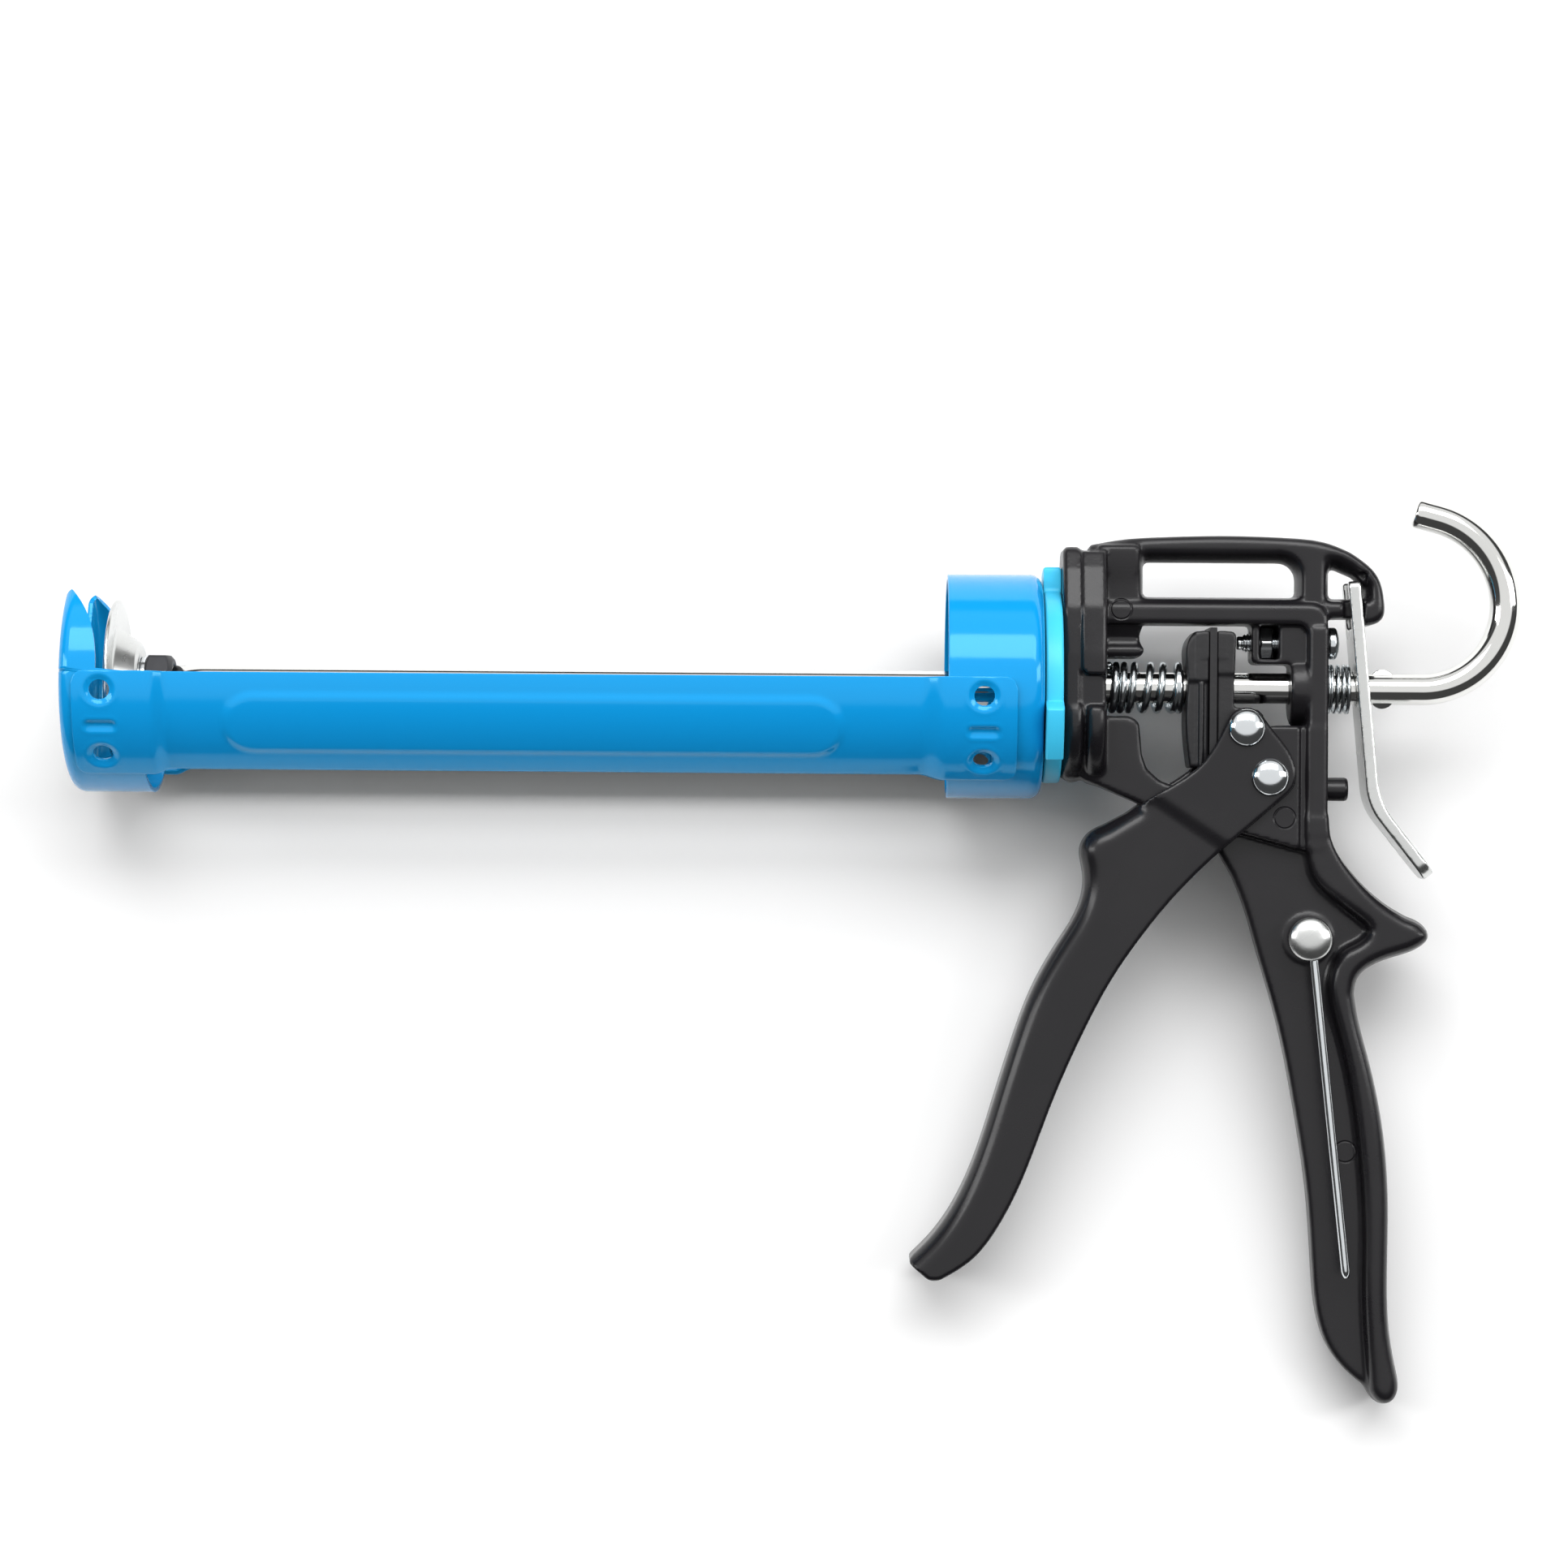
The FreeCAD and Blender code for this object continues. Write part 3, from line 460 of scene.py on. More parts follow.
class SampleBox:
    """A box of evenly spaced points in the gun's frame, where a solid's distance is worked out."""

    def __init__(self, low: Sequence[float], high: Sequence[float], step: float) -> None:
        """Args: low and high are opposite corners in millimetres, step the spacing."""
        self.low = np.asarray(low, float)
        self.step = step
        counts = np.ceil((np.asarray(high, float) - self.low) / step).astype(int) + 1
        lines = [self.low[i] + step * np.arange(counts[i]) for i in range(3)]
        self.x = lines[0][:, None, None].astype(np.float32)
        self.y = lines[1][None, :, None].astype(np.float32)
        self.z = lines[2][None, None, :].astype(np.float32)

    def side(self, corners: Array) -> Array:
        """The distance to an outline seen from the side, on (X, Y)."""
        shape = np.broadcast_shapes(self.x.shape, self.y.shape)
        return outline_distance(corners, np.broadcast_to(self.x, shape), np.broadcast_to(self.y, shape))

    def front(self, corners: Array) -> Array:
        """The distance to an outline seen from the front, on (Y, Z)."""
        shape = np.broadcast_shapes(self.y.shape, self.z.shape)
        return outline_distance(corners, np.broadcast_to(self.y, shape), np.broadcast_to(self.z, shape))

    def rod(self, x0: float, x1: float, radius: float, edge: float = 0.4, y: float = 0.0) -> Array:
        """A round bar along X."""
        return plate(np.hypot(self.y - y, self.z) - radius, self.x, x0, x1, edge)

    def pin(self, x: float, y: float, z0: float, z1: float, radius: float, edge: float = 0.4) -> Array:
        """A round bar along Z."""
        return plate(np.hypot(self.x - x, self.y - y) - radius, self.z, z0, z1, edge)

    def brick(
        self, x: tuple[float, float], y: tuple[float, float], z: tuple[float, float], edge: float
    ) -> Array:
        """A block with rounded edges."""
        spans = ((self.x, x), (self.y, y), (self.z, z))
        q = [np.abs(axis - sum(ends) / 2) - (ends[1] - ends[0]) / 2 + edge for axis, ends in spans]
        inner = np.minimum(np.maximum(np.maximum(q[0], q[1]), q[2]), 0)
        outer = np.sqrt(sum(np.maximum(part, 0) ** 2 for part in q))
        return inner + outer - edge

    def mesh(self, name: str, field: Array) -> bpy.types.Object:
        """Wraps the surface where the distance is zero in quads.

        Each cell that the surface crosses gets one point, at the mean of the crossings of
        its twelve edges, and each crossed edge gets one quad through its four cells.

        Args:
            name: the piece's name.
            field: signed distances at the box's points.

        Returns:
            The new object.
        """
        inside = field < 0
        corner = np.array([(i, j, k) for i in (0, 1) for j in (0, 1) for k in (0, 1)])
        n = np.array(field.shape) - 1
        count = sum(inside[i:i + n[0], j:j + n[1], k:k + n[2]].astype(np.int8) for i, j, k in corner)
        crossed_cell = (count > 0) & (count < 8)
        cell = np.argwhere(crossed_cell)
        number = np.full(crossed_cell.shape, -1)
        number[crossed_cell] = np.arange(len(cell))
        near = cell[:, None] + corner[None]
        value = field[near[..., 0], near[..., 1], near[..., 2]].astype(float)
        total, hits = np.zeros((len(cell), 3)), np.zeros(len(cell))
        pairs = [(a, b) for a in range(8) for b in range(a + 1, 8) if abs(corner[a] - corner[b]).sum() == 1]
        for a, b in pairs:
            crossed = (value[:, a] < 0) != (value[:, b] < 0)
            share = np.where(crossed, value[:, a] / np.where(crossed, value[:, a] - value[:, b], 1), 0)
            total += np.where(crossed[:, None], corner[a] + share[:, None] * (corner[b] - corner[a]), 0)
            hits += crossed
        points = self.low + self.step * (cell + total / hits[:, None])
        return mesh_object(name, points, self._faces(inside, number))

    @staticmethod
    def _faces(inside: Array, number: Array) -> Array:
        """The quads round every crossed grid edge, wound to face outwards."""
        faces = []
        for axis in range(3):
            u, v = (axis + 1) % 3, (axis + 2) % 3
            ends = [slice(1, -1)] * 3
            ends[axis] = slice(None, -1)
            first = inside[tuple(ends)]
            ends[axis] = slice(1, None)
            second = inside[tuple(ends)]
            at = np.argwhere(first != second)
            filled = first[first != second]
            at[:, u] += 1
            at[:, v] += 1
            back_u, back_v = np.eye(3, dtype=int)[u], np.eye(3, dtype=int)[v]
            around = [at, at - back_u, at - back_u - back_v, at - back_v]
            quad = np.stack([number[tuple(k.T)] for k in around], axis=1)
            faces.append(np.where(filled[:, None], quad, quad[:, ::-1]))
        return np.concatenate(faces)


# ------------------------------------------------------------------ shader groups
def socket_group(
    name: str, inputs: dict[str, tuple[str, float]], outputs: dict[str, str]
) -> bpy.types.NodeTree:
    """An empty shader group with named sockets.

    Args:
        name: the group's name.
        inputs: socket name to (kind, default value).
        outputs: socket name to kind.

    Returns:
        The group, with its input and output nodes named "in" and "out".
    """
    group = bpy.data.node_groups.new(name, "ShaderNodeTree")
    for label, (kind, value) in inputs.items():
        made = group.interface.new_socket(label, in_out="INPUT", socket_type=kind)
        if kind == "NodeSocketFloat":
            made.default_value = value
    for label, kind in outputs.items():
        group.interface.new_socket(label, in_out="OUTPUT", socket_type=kind)
    group.nodes.new("NodeGroupInput").name = "in"
    group.nodes.new("NodeGroupOutput").name = "out"
    return group


def math_node(
    tree: bpy.types.NodeTree, kind: str, a: object, b: object, clamp: bool = False
) -> bpy.types.NodeSocket:
    """A Math node on two sockets or numbers; gives back its result."""
    node = tree.nodes.new("ShaderNodeMath")
    node.operation = kind
    node.use_clamp = clamp
    for slot, value in zip(node.inputs, (a, b)):
        if isinstance(value, bpy.types.NodeSocket):
            tree.links.new(value, slot)
        elif value is not None:
            slot.default_value = value
    return node.outputs[0]


def noise_node(
    tree: bpy.types.NodeTree, vector: object, scale: object, detail: float, rough: float
) -> bpy.types.NodeSocket:
    """A Noise Texture on a vector; gives back its factor."""
    node = tree.nodes.new("ShaderNodeTexNoise")
    node.inputs["Detail"].default_value = detail
    node.inputs["Roughness"].default_value = rough
    tree.links.new(vector, node.inputs["Vector"])
    if isinstance(scale, bpy.types.NodeSocket):
        tree.links.new(scale, node.inputs["Scale"])
    else:
        node.inputs["Scale"].default_value = scale
    return node.outputs["Fac"]


def range_node(
    tree: bpy.types.NodeTree, value: bpy.types.NodeSocket, low: float, high: float
) -> bpy.types.Node:
    """A Map Range node that takes a value from 0 at low to 1 at high."""
    node = tree.nodes.new("ShaderNodeMapRange")
    node.inputs["From Min"].default_value = low
    node.inputs["From Max"].default_value = high
    tree.links.new(value, node.inputs["Value"])
    return node


def orange_peel_group() -> bpy.types.NodeTree:
    """Height of a coat of paint or powder: fine grain, with a slower swell under it."""
    tree = socket_group(
        "coat_surface",
        {
            "Vector": ("NodeSocketVector", 0),
            "Grain": ("NodeSocketFloat", 900.0),
            "Swell": ("NodeSocketFloat", 0.5),
        },
        {"Height": "NodeSocketFloat"},
    )
    source, target = tree.nodes["in"], tree.nodes["out"]
    fine = noise_node(tree, source.outputs["Vector"], source.outputs["Grain"], 2.0, 0.55)
    slow_scale = math_node(tree, "MULTIPLY", source.outputs["Grain"], 0.14)
    slow = noise_node(tree, source.outputs["Vector"], slow_scale, 1.0, 0.5)
    swell = math_node(tree, "MULTIPLY", slow, source.outputs["Swell"])
    tree.links.new(math_node(tree, "ADD", fine, swell), target.inputs["Height"])
    return tree


def handling_group() -> bpy.types.NodeTree:
    """Two masks of use: soft smudges all over, and short thin scratches along one way."""
    tree = socket_group(
        "handling_marks",
        {"Vector": ("NodeSocketVector", 0), "Scratch scale": ("NodeSocketFloat", 60.0)},
        {"Smudge": "NodeSocketFloat", "Scratch": "NodeSocketFloat"},
    )
    source, target = tree.nodes["in"], tree.nodes["out"]
    cloud = noise_node(tree, source.outputs["Vector"], 38.0, 4.0, 0.6)
    smudge = range_node(tree, cloud, 0.42, 0.68)
    tree.links.new(smudge.outputs["Result"], target.inputs["Smudge"])
    stretch = tree.nodes.new("ShaderNodeMapping")
    stretch.inputs["Rotation"].default_value = (0.3, 0.2, 0.5)
    stretch.inputs["Scale"].default_value = (1.0, 16.0, 16.0)
    tree.links.new(source.outputs["Vector"], stretch.inputs["Vector"])
    lines = noise_node(tree, stretch.outputs["Vector"], source.outputs["Scratch scale"], 3.0, 0.6)
    thin = range_node(tree, lines, 0.66, 0.74)
    tree.links.new(thin.outputs["Result"], target.inputs["Scratch"])
    return tree


def pressed_ring_group() -> bpy.types.NodeTree:
    """Height of one round mark pressed into a face: a shallow groove on a circle.

    The mask is 1 where the distance from the centre line, taken in the row frame, is
    within half a groove of the radius, and fades over the groove's width.
    """
    tree = socket_group(
        "pressed_ring",
        {
            "Vector": ("NodeSocketVector", 0),
            "Centre": ("NodeSocketVector", 0),
            "Radius": ("NodeSocketFloat", 0.0027),
        },
        {"Groove": "NodeSocketFloat"},
    )
    source, target = tree.nodes["in"], tree.nodes["out"]
    distance = tree.nodes.new("ShaderNodeVectorMath")
    distance.operation = "DISTANCE"
    tree.links.new(source.outputs["Vector"], distance.inputs[0])
    tree.links.new(source.outputs["Centre"], distance.inputs[1])
    away = math_node(tree, "SUBTRACT", distance.outputs["Value"], source.outputs["Radius"])
    away = math_node(tree, "ABSOLUTE", away, None)
    fade = range_node(tree, away, 0.00035, 0.00005)
    tree.links.new(fade.outputs["Result"], target.inputs["Groove"])
    return tree


COAT_SURFACE = orange_peel_group()
HANDLING = handling_group()
PRESSED_RING = pressed_ring_group()


# ------------------------------------------------------------------ finishes
class Slot(Enum):
    """The record's material slots."""

    BLUE_ENAMEL = "blue_enamel"
    TURQUOISE_PLASTIC = "turquoise_plastic"
    BLACK_CASTING = "black_casting"
    BLACK_TRIGGER = "black_trigger"
    BLACK_DRIVER = "black_driver"
    ZINC_PLATE = "zinc_plate"
    ZINC_FASTENER = "zinc_fastener"
    BRIGHT_ROD = "bright_rod"
    SPRING_WIRE = "spring_wire"
    BLACK_OXIDE = "black_oxide"


@dataclass(frozen=True)
class Finish:
    """A finish's numbers. Colours are linear RGB; depths are metres."""

    name: str
    colour: tuple[float, float, float]
    worn: tuple[float, float, float]
    roughness: float
    metallic: float = 0.0
    specular: float = 0.5
    tint: tuple[float, float, float] = (1.0, 1.0, 1.0)
    grain: float = 900.0
    swell: float = 0.5
    depth: float = 0.00001
    smudge: float = 0.08
    scratch: float = 0.0
    scratch_scale: float = 60.0
    marks: tuple[tuple[float, float, float], ...] = ()
    bounce: float | None = None

    def material(self) -> bpy.types.Material:
        """Builds the finish's material: mixed colour, uneven gloss and a bumped surface."""
        made = bpy.data.materials.new(self.name)
        made.use_nodes = True
        tree = made.node_tree
        shader = tree.nodes["Principled BSDF"]
        place = tree.nodes.new("ShaderNodeTexCoord").outputs["Object"]
        handling = self._group(tree, HANDLING, place, {"Scratch scale": self.scratch_scale})
        smudge = math_node(tree, "MULTIPLY", handling.outputs["Smudge"], self.smudge)
        scratch = math_node(tree, "MULTIPLY", handling.outputs["Scratch"], self.scratch)
        wear = math_node(tree, "ADD", smudge, scratch, clamp=True)
        mix = tree.nodes.new("ShaderNodeMix")
        mix.data_type = "RGBA"
        mix.inputs[6].default_value = (*self.colour, 1)
        mix.inputs[7].default_value = (*self.worn, 1)
        tree.links.new(wear, mix.inputs[0])
        tree.links.new(self._calm(tree, mix.outputs[2]), shader.inputs["Base Color"])
        rough = math_node(tree, "MULTIPLY", wear, 0.35)
        rough = math_node(tree, "ADD", rough, self.roughness, clamp=True)
        tree.links.new(rough, shader.inputs["Roughness"])
        shader.inputs["Metallic"].default_value = self.metallic
        shader.inputs["Specular IOR Level"].default_value = self.specular
        shader.inputs["Specular Tint"].default_value = (*self.tint, 1)
        coat = self._group(tree, COAT_SURFACE, place, {"Grain": self.grain, "Swell": self.swell})
        bump = tree.nodes.new("ShaderNodeBump")
        bump.inputs["Distance"].default_value = self.depth
        tree.links.new(coat.outputs["Height"], bump.inputs["Height"])
        tree.links.new(bump.outputs["Normal"], shader.inputs["Normal"])
        self._press(tree, place, bump)
        return made

    def _calm(self, tree: bpy.types.NodeTree, colour: bpy.types.NodeSocket) -> bpy.types.NodeSocket:
        """Makes the light that a bright finish throws on the floor grey, not coloured.

        Args:
            tree: the material's nodes.
            colour: the finish's own colour.

        Returns:
            The colour, or the finish's bounce grey for a ray that has left a dull surface.
        """
        if self.bounce is None:
            return colour
        calm = tree.nodes.new("ShaderNodeMix")
        calm.data_type = "RGBA"
        calm.inputs[7].default_value = (self.bounce, self.bounce, self.bounce, 1)
        light = tree.nodes.new("ShaderNodeLightPath")
        tree.links.new(light.outputs["Is Diffuse Ray"], calm.inputs[0])
        tree.links.new(colour, calm.inputs[6])
        return calm.outputs[2]

    def _press(self, tree: bpy.types.NodeTree, place: bpy.types.NodeSocket, bump: bpy.types.Node) -> None:
        """Adds the round marks left in a casting by its mould's ejector pins."""
        total = None
        for mark in self.marks:
            ring = self._group(tree, PRESSED_RING, place, {})
            ring.inputs["Centre"].default_value = tuple(LAY.place(np.array([mark]))[0])
            groove = ring.outputs["Groove"]
            total = groove if total is None else math_node(tree, "ADD", total, groove)
        if total is None:
            return
        sink = tree.nodes.new("ShaderNodeBump")
        sink.invert = True
        sink.inputs["Distance"].default_value = 0.0002
        tree.links.new(total, sink.inputs["Height"])
        tree.links.new(sink.outputs["Normal"], bump.inputs["Normal"])

    @staticmethod
    def _group(
        tree: bpy.types.NodeTree, group: bpy.types.NodeTree, place: object, values: dict
    ) -> bpy.types.Node:
        """Places a group on the object's own coordinates with some values."""
        node = tree.nodes.new("ShaderNodeGroup")
        node.node_tree = group
        tree.links.new(place, node.inputs["Vector"])
        for label, value in values.items():
            node.inputs[label].default_value = value
        return node


EJECTOR_MARKS = ((312.5, -33.4, 9.2), (329.1, -119.2, 4.5), (270.3, 20.0, 8.8))
FINISHES = {
    Slot.BLUE_ENAMEL: Finish(
        "blue_enamel", (0.004, 0.305, 0.72), (0.006, 0.32, 0.74), 0.11,
        specular=0.62, tint=(0.42, 0.95, 1.0), grain=420.0, depth=0.000004, smudge=0.05, bounce=0.2,
    ),
    Slot.TURQUOISE_PLASTIC: Finish(
        "turquoise_plastic", (0.055, 0.60, 0.93), (0.07, 0.62, 0.93), 0.34, tint=(0.6, 1.0, 1.0),
        grain=700.0, depth=0.000008, smudge=0.05,
    ),
    Slot.BLACK_CASTING: Finish(
        "black_casting", (0.0085, 0.0078, 0.0095), (0.02, 0.019, 0.021), 0.27,
        specular=0.42, grain=1500.0, swell=0.8, depth=0.000022, smudge=0.22, marks=EJECTOR_MARKS,
    ),
    Slot.BLACK_TRIGGER: Finish(
        "black_trigger", (0.008, 0.0074, 0.009), (0.02, 0.019, 0.021), 0.25,
        specular=0.42, grain=1500.0, depth=0.000012, smudge=0.15,
    ),
    Slot.BLACK_DRIVER: Finish(
        "black_driver", (0.008, 0.0078, 0.0092), (0.02, 0.019, 0.021), 0.36,
        specular=0.5, grain=700.0, swell=1.5, depth=0.00006, smudge=0.25, scratch=0.05,
    ),
    Slot.ZINC_PLATE: Finish(
        "zinc_plate", (0.70, 0.71, 0.70), (0.38, 0.38, 0.37), 0.24, metallic=1.0,
        grain=1400.0, depth=0.000012, smudge=0.2, scratch=0.35, scratch_scale=110.0,
    ),
    Slot.ZINC_FASTENER: Finish(
        "zinc_fastener", (0.74, 0.77, 0.79), (0.42, 0.44, 0.46), 0.13, metallic=1.0,
        grain=1800.0, depth=0.000008, smudge=0.15, scratch=0.15, scratch_scale=200.0,
    ),
    Slot.BRIGHT_ROD: Finish(
        "bright_rod", (0.80, 0.80, 0.78), (0.5, 0.5, 0.48), 0.07, metallic=1.0,
        grain=500.0, depth=0.000004, smudge=0.06, scratch=0.12, scratch_scale=90.0,
    ),
    Slot.SPRING_WIRE: Finish(
        "spring_wire", (0.62, 0.66, 0.68), (0.3, 0.31, 0.32), 0.14, metallic=1.0,
        grain=1800.0, depth=0.000006, smudge=0.2, scratch=0.1, scratch_scale=200.0,
    ),
    Slot.BLACK_OXIDE: Finish(
        "black_oxide", (0.022, 0.023, 0.026), (0.09, 0.09, 0.1), 0.38, metallic=0.4,
        grain=1600.0, depth=0.00002, smudge=0.35, scratch=0.1, scratch_scale=160.0,
    ),
}
MATERIALS = {slot: finish.material() for slot, finish in FINISHES.items()}


def fit(piece: bpy.types.Object, body: str, slot: Slot, *nodes: str) -> None:
    """Gives a piece its finish, its body and the CAD nodes that it stands for.

    Args:
        piece: the finished piece.
        body: the body that it moves with.
        slot: the material slot.
        nodes: the CAD nodes that it replaces.
    """
    piece.data.materials.clear()
    piece.data.materials.append(MATERIALS[slot])
    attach(piece, body)
    if nodes:
        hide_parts(*nodes)
    log.info("%s: %d points on %s", piece.name, len(piece.data.vertices), body)


def dress(node: str, slot: Slot) -> None:
    """Gives a CAD node that keeps its own shape its finish."""
    dressed = frame["nodes"][node]
    dressed.data.materials.clear()
    dressed.data.materials.append(MATERIALS[slot])


# ------------------------------------------------------------------ carriage
@dataclass
class Carriage:
    """Two enamelled cups joined by two pressed rails with embossed panels."""

    radius: float = 29.0
    sheet: float = 1.2
    corner: float = 3.2
    front_depth: float = 20.6
    rear_depth: float = 24.5
    slot_radius: float = 10.5
    spigot_hole: float = 11.1
    horn_angle: float = 53.0
    hole_radius: float = 2.6
    hole_angles: tuple[float, float] = (-6.0, -41.0)
    front_hole_x: float = 10.9
    rear_hole_inset: float = 15.4
    flare: float = 1.5
    flare_depth: float = 0.75
    bar_angle: float = -24.0
    bar_size: tuple[float, float] = (4.0, 1.35)
    bar_depth: float = 0.85
    lip: float = 0.12
    main_radius: float = 28.4
    tab_radius: float = 30.24
    rail_middle: float = -25.3
    rail_half: float = 28.7
    panel: tuple[float, float] = (42.0, 199.0)
    panel_half: float = 8.6
    panel_rise: float = 0.6
    cap_hole: float = 3.6
    cut_edge: float = 0.4

    def build(self) -> None:
        """Makes and dresses the two caps and the two rails."""
        pressings = {"front_cap": self.front_cap(), "rear_cap": self.rear_cap()}
        for name, side in (("cradle_rail_near", 1), ("cradle_rail_far", -1)):
            pressings[name] = self.rail(name + "_pressing", side)
        for node, piece in pressings.items():
            thicken(piece, self.sheet, self.cut_edge)
            fit(piece, "carriage", Slot.BLUE_ENAMEL, node)

    def along_cup(self, t: Array) -> tuple[Array, Array]:
        """The cup's outer profile by length along it: flat base, quarter-round, then wall.

        Args:
            t: length from the rod's axis.

        Returns:
            Depth behind the base, and radius.
        """
        flat = self.radius - self.corner
        bend = np.clip((t - flat) / self.corner, 0, math.pi / 2)
        past = np.maximum(t - flat - self.corner * math.pi / 2, 0)
        depth = self.corner * (1 - np.cos(bend)) + past
        return depth, np.minimum(t, flat) + self.corner * np.sin(bend)

    def length_at_depth(self, depth: Array) -> Array:
        """The length along the cup's profile at a depth behind its base."""
        bend = np.arccos(np.clip(1 - depth / self.corner, 0, 1))
        return self.radius - self.corner + self.corner * bend + np.maximum(depth - self.corner, 0)

    def length_at_radius(self, radius: Array) -> Array:
        """The length along the cup's profile at a radius on its base or its corner."""
        flat = self.radius - self.corner
        bend = np.arcsin(np.clip((radius - flat) / self.corner, 0, 1))
        return np.minimum(radius, flat) + self.corner * bend

    def front_cap(self) -> bpy.types.Object:
        """The front cup: point (t, a) lies at length t along the cup's profile, turned by a.

        The angle runs round below from one horn's tip to the other. The inner edge is the
        nozzle slot and the outer edge the rim, cut back above to the horns' outline, and
        both meet at the tips.
        """
        tip = self.horn_angle
        dense = 361
        sweep = np.linspace(-1, 1, dense)
        angle = np.radians(-90 + (tip + 90) * np.sin(sweep * math.pi / 2))
        rise, side = np.sin(angle), np.abs(np.cos(angle))
        tip_turn = math.radians(tip)
        tip_y, tip_z = self.radius * math.sin(tip_turn), self.radius * math.cos(tip_turn)
        reach = np.linspace(0, self.radius, 600)[None, :]
        slot_half = np.interp(reach * rise[:, None], [0, 9, tip_y], [self.slot_radius, 11.4, tip_z])
        inside_slot = (reach * side[:, None] < slot_half) & (reach * rise[:, None] > 0)
        inside_slot |= reach < self.slot_radius
        inner = np.where(inside_slot, reach, 0).max(axis=1)
        horn = spline([(1.6, tip_y + 0.05), (4.0, 20.6), (7.4, 15.4), (9.2, 9.5), (9.75, 4.0)], 0.3)
        height = self.radius * rise
        rim = np.interp(height, horn[::-1, 1], horn[::-1, 0])
        rim = self.front_depth + (rim - self.front_depth) * ease(height, 1.4, 2.4)
        start = np.minimum(self.length_at_radius(inner), self.length_at_depth(rim))
        stop = self.length_at_depth(rim)
        t = np.linspace(0, 1, 64)[:, None]
        length = start[None, :] + t * (stop - start)[None, :]
        depth, radius = self.along_cup(length)
        points = np.stack([depth, radius * rise, radius * np.cos(angle)], axis=-1)
        return self.punched("front_cap_pressing", points, self.front_hole_x, wrap=False)

    def rear_cap(self) -> bpy.types.Object:
        """The rear cup, open towards the front: the same surface, mirrored and whole.

        A small dent in the corner of its base, next to the near rail, is a dip that fades
        as a bell curve of the distance along the profile and round it.
        """
        base = LAY.span("rear_cap")[1]
        angle = np.radians(np.linspace(-180, 180, 288, endpoint=False))
        stop = float(self.length_at_depth(np.array(self.rear_depth)))
        length = np.linspace(self.spigot_hole, stop, 70)[:, None] + 0 * angle[None, :]
        depth, radius = self.along_cup(length)
        bend = np.clip((length - self.radius + self.corner) / self.corner, 0, math.pi / 2)
        around = (np.degrees(angle)[None, :] - self.bar_angle) / 11.0
        dip = 0.75 * np.exp(-around ** 2 - ((length - 28.6) / 2.6) ** 2)
        depth = depth + dip * np.cos(bend)
        radius = radius - dip * np.sin(bend)
        points = np.stack([base - depth, radius * np.sin(angle), radius * np.cos(angle)], axis=-1)
        return self.punched("rear_cap_pressing", points, base - self.rear_hole_inset, wrap=True)

    def punched(self, name: str, points: Array, hole_x: float, wrap: bool) -> bpy.types.Object:
        """A grid of points made a sheet, less the faces over the clinch holes.

        Args:
            name: the piece's name.
            points: (rows, columns, 3) outer surface.
            hole_x: where the holes under the rails' tabs are.
            wrap: whether the last column joins the first.

        Returns:
            The sheet, facing outwards.
        """
        rows, columns = points.shape[:2]
        quads = grid_quads(rows, columns, wrap_columns=wrap)
        flat = points.reshape(-1, 3)
        centre = flat[quads].mean(axis=1)
        round_x = np.degrees(np.arctan2(centre[:, 1], np.abs(centre[:, 2])))
        wall = np.hypot(centre[:, 1], centre[:, 2]) > self.radius - 0.5
        hidden = np.zeros(len(quads), bool)
        for angle in self.hole_angles:
            along = self.radius * np.radians(round_x - angle)
            hidden |= wall & (np.hypot(centre[:, 0] - hole_x, along) < self.cap_hole)
        quads = quads[~hidden]
        a, b, c = (flat[quads[:, i]] for i in (0, 1, 3))
        facing = np.cross(b - a, c - a)
        out = centre[~hidden] * np.array([0.0, 1.0, 1.0])
        if np.einsum("ij,ij->i", facing, out).sum() < 0:
            quads = quads[:, ::-1]
        return mesh_object(name, flat, quads)

    def rail(self, name: str, side: int) -> bpy.types.Object:
        """One rail: point (x, s) lies at the height h(x, s) over arc length s round the rod.

        The height is the strip's radius, with an S-shaped step up to each end tab, a panel
        raised inside a rounded oblong, and a dip at each clinch bar and each flared hole.
        The grid's squares round each hole are warped into circles, so that the hole's edge
        is one ring of the grid.

        Args:
            name: the piece's name.
            side: 1 for the near side and -1 for the far side.

        Returns:
            The sheet, facing outwards.
        """
        first, last = LAY.span("cradle_rail_near")
        tab_front, tab_rear = first + 19.5, last - 17.9
        holes_x = (self.front_hole_x, LAY.span("rear_cap")[1] - self.rear_hole_inset)
        pitch = 0.65
        x_line = self.even_line(first, last, holes_x, pitch)
        scale = math.radians(1.0) * self.tab_radius
        holes_s = [(angle - self.rail_middle) * scale for angle in self.hole_angles]
        bar_s = (self.bar_angle - self.rail_middle) * scale
        s_line = self.even_line(-self.rail_half * scale, self.rail_half * scale, holes_s, pitch)
        x, s = np.meshgrid(x_line, s_line, indexing="ij")
        gone = np.zeros(x.shape, bool)
        for hole_x in holes_x:
            for hole_s in holes_s:
                x, s, ring = self.round_hole(x, s, x_line, s_line, (hole_x, hole_s), pitch)
                gone |= ring
        trim = self.corner_trim(x, first, last, 3.2)
        s = s * (1 - trim / (self.rail_half * scale))
        step = ease(x, tab_front, tab_front + 4.4) * (1 - ease(x, tab_rear - 6.7, tab_rear))
        height = self.tab_radius - self.lip + (self.main_radius - self.tab_radius) * step
        height = height + self.panel_rise * self.panel_mask(x, s - bar_s)
        for hole_x in holes_x:
            for hole_s in holes_s:
                away = np.hypot(x - hole_x, s - hole_s) - self.hole_radius
                height = height - self.flare_depth * (1 - ease(away, 0.0, self.flare))
                height = height + self.lip * np.exp(-(((away - self.flare - 0.35) / 0.45) ** 2))
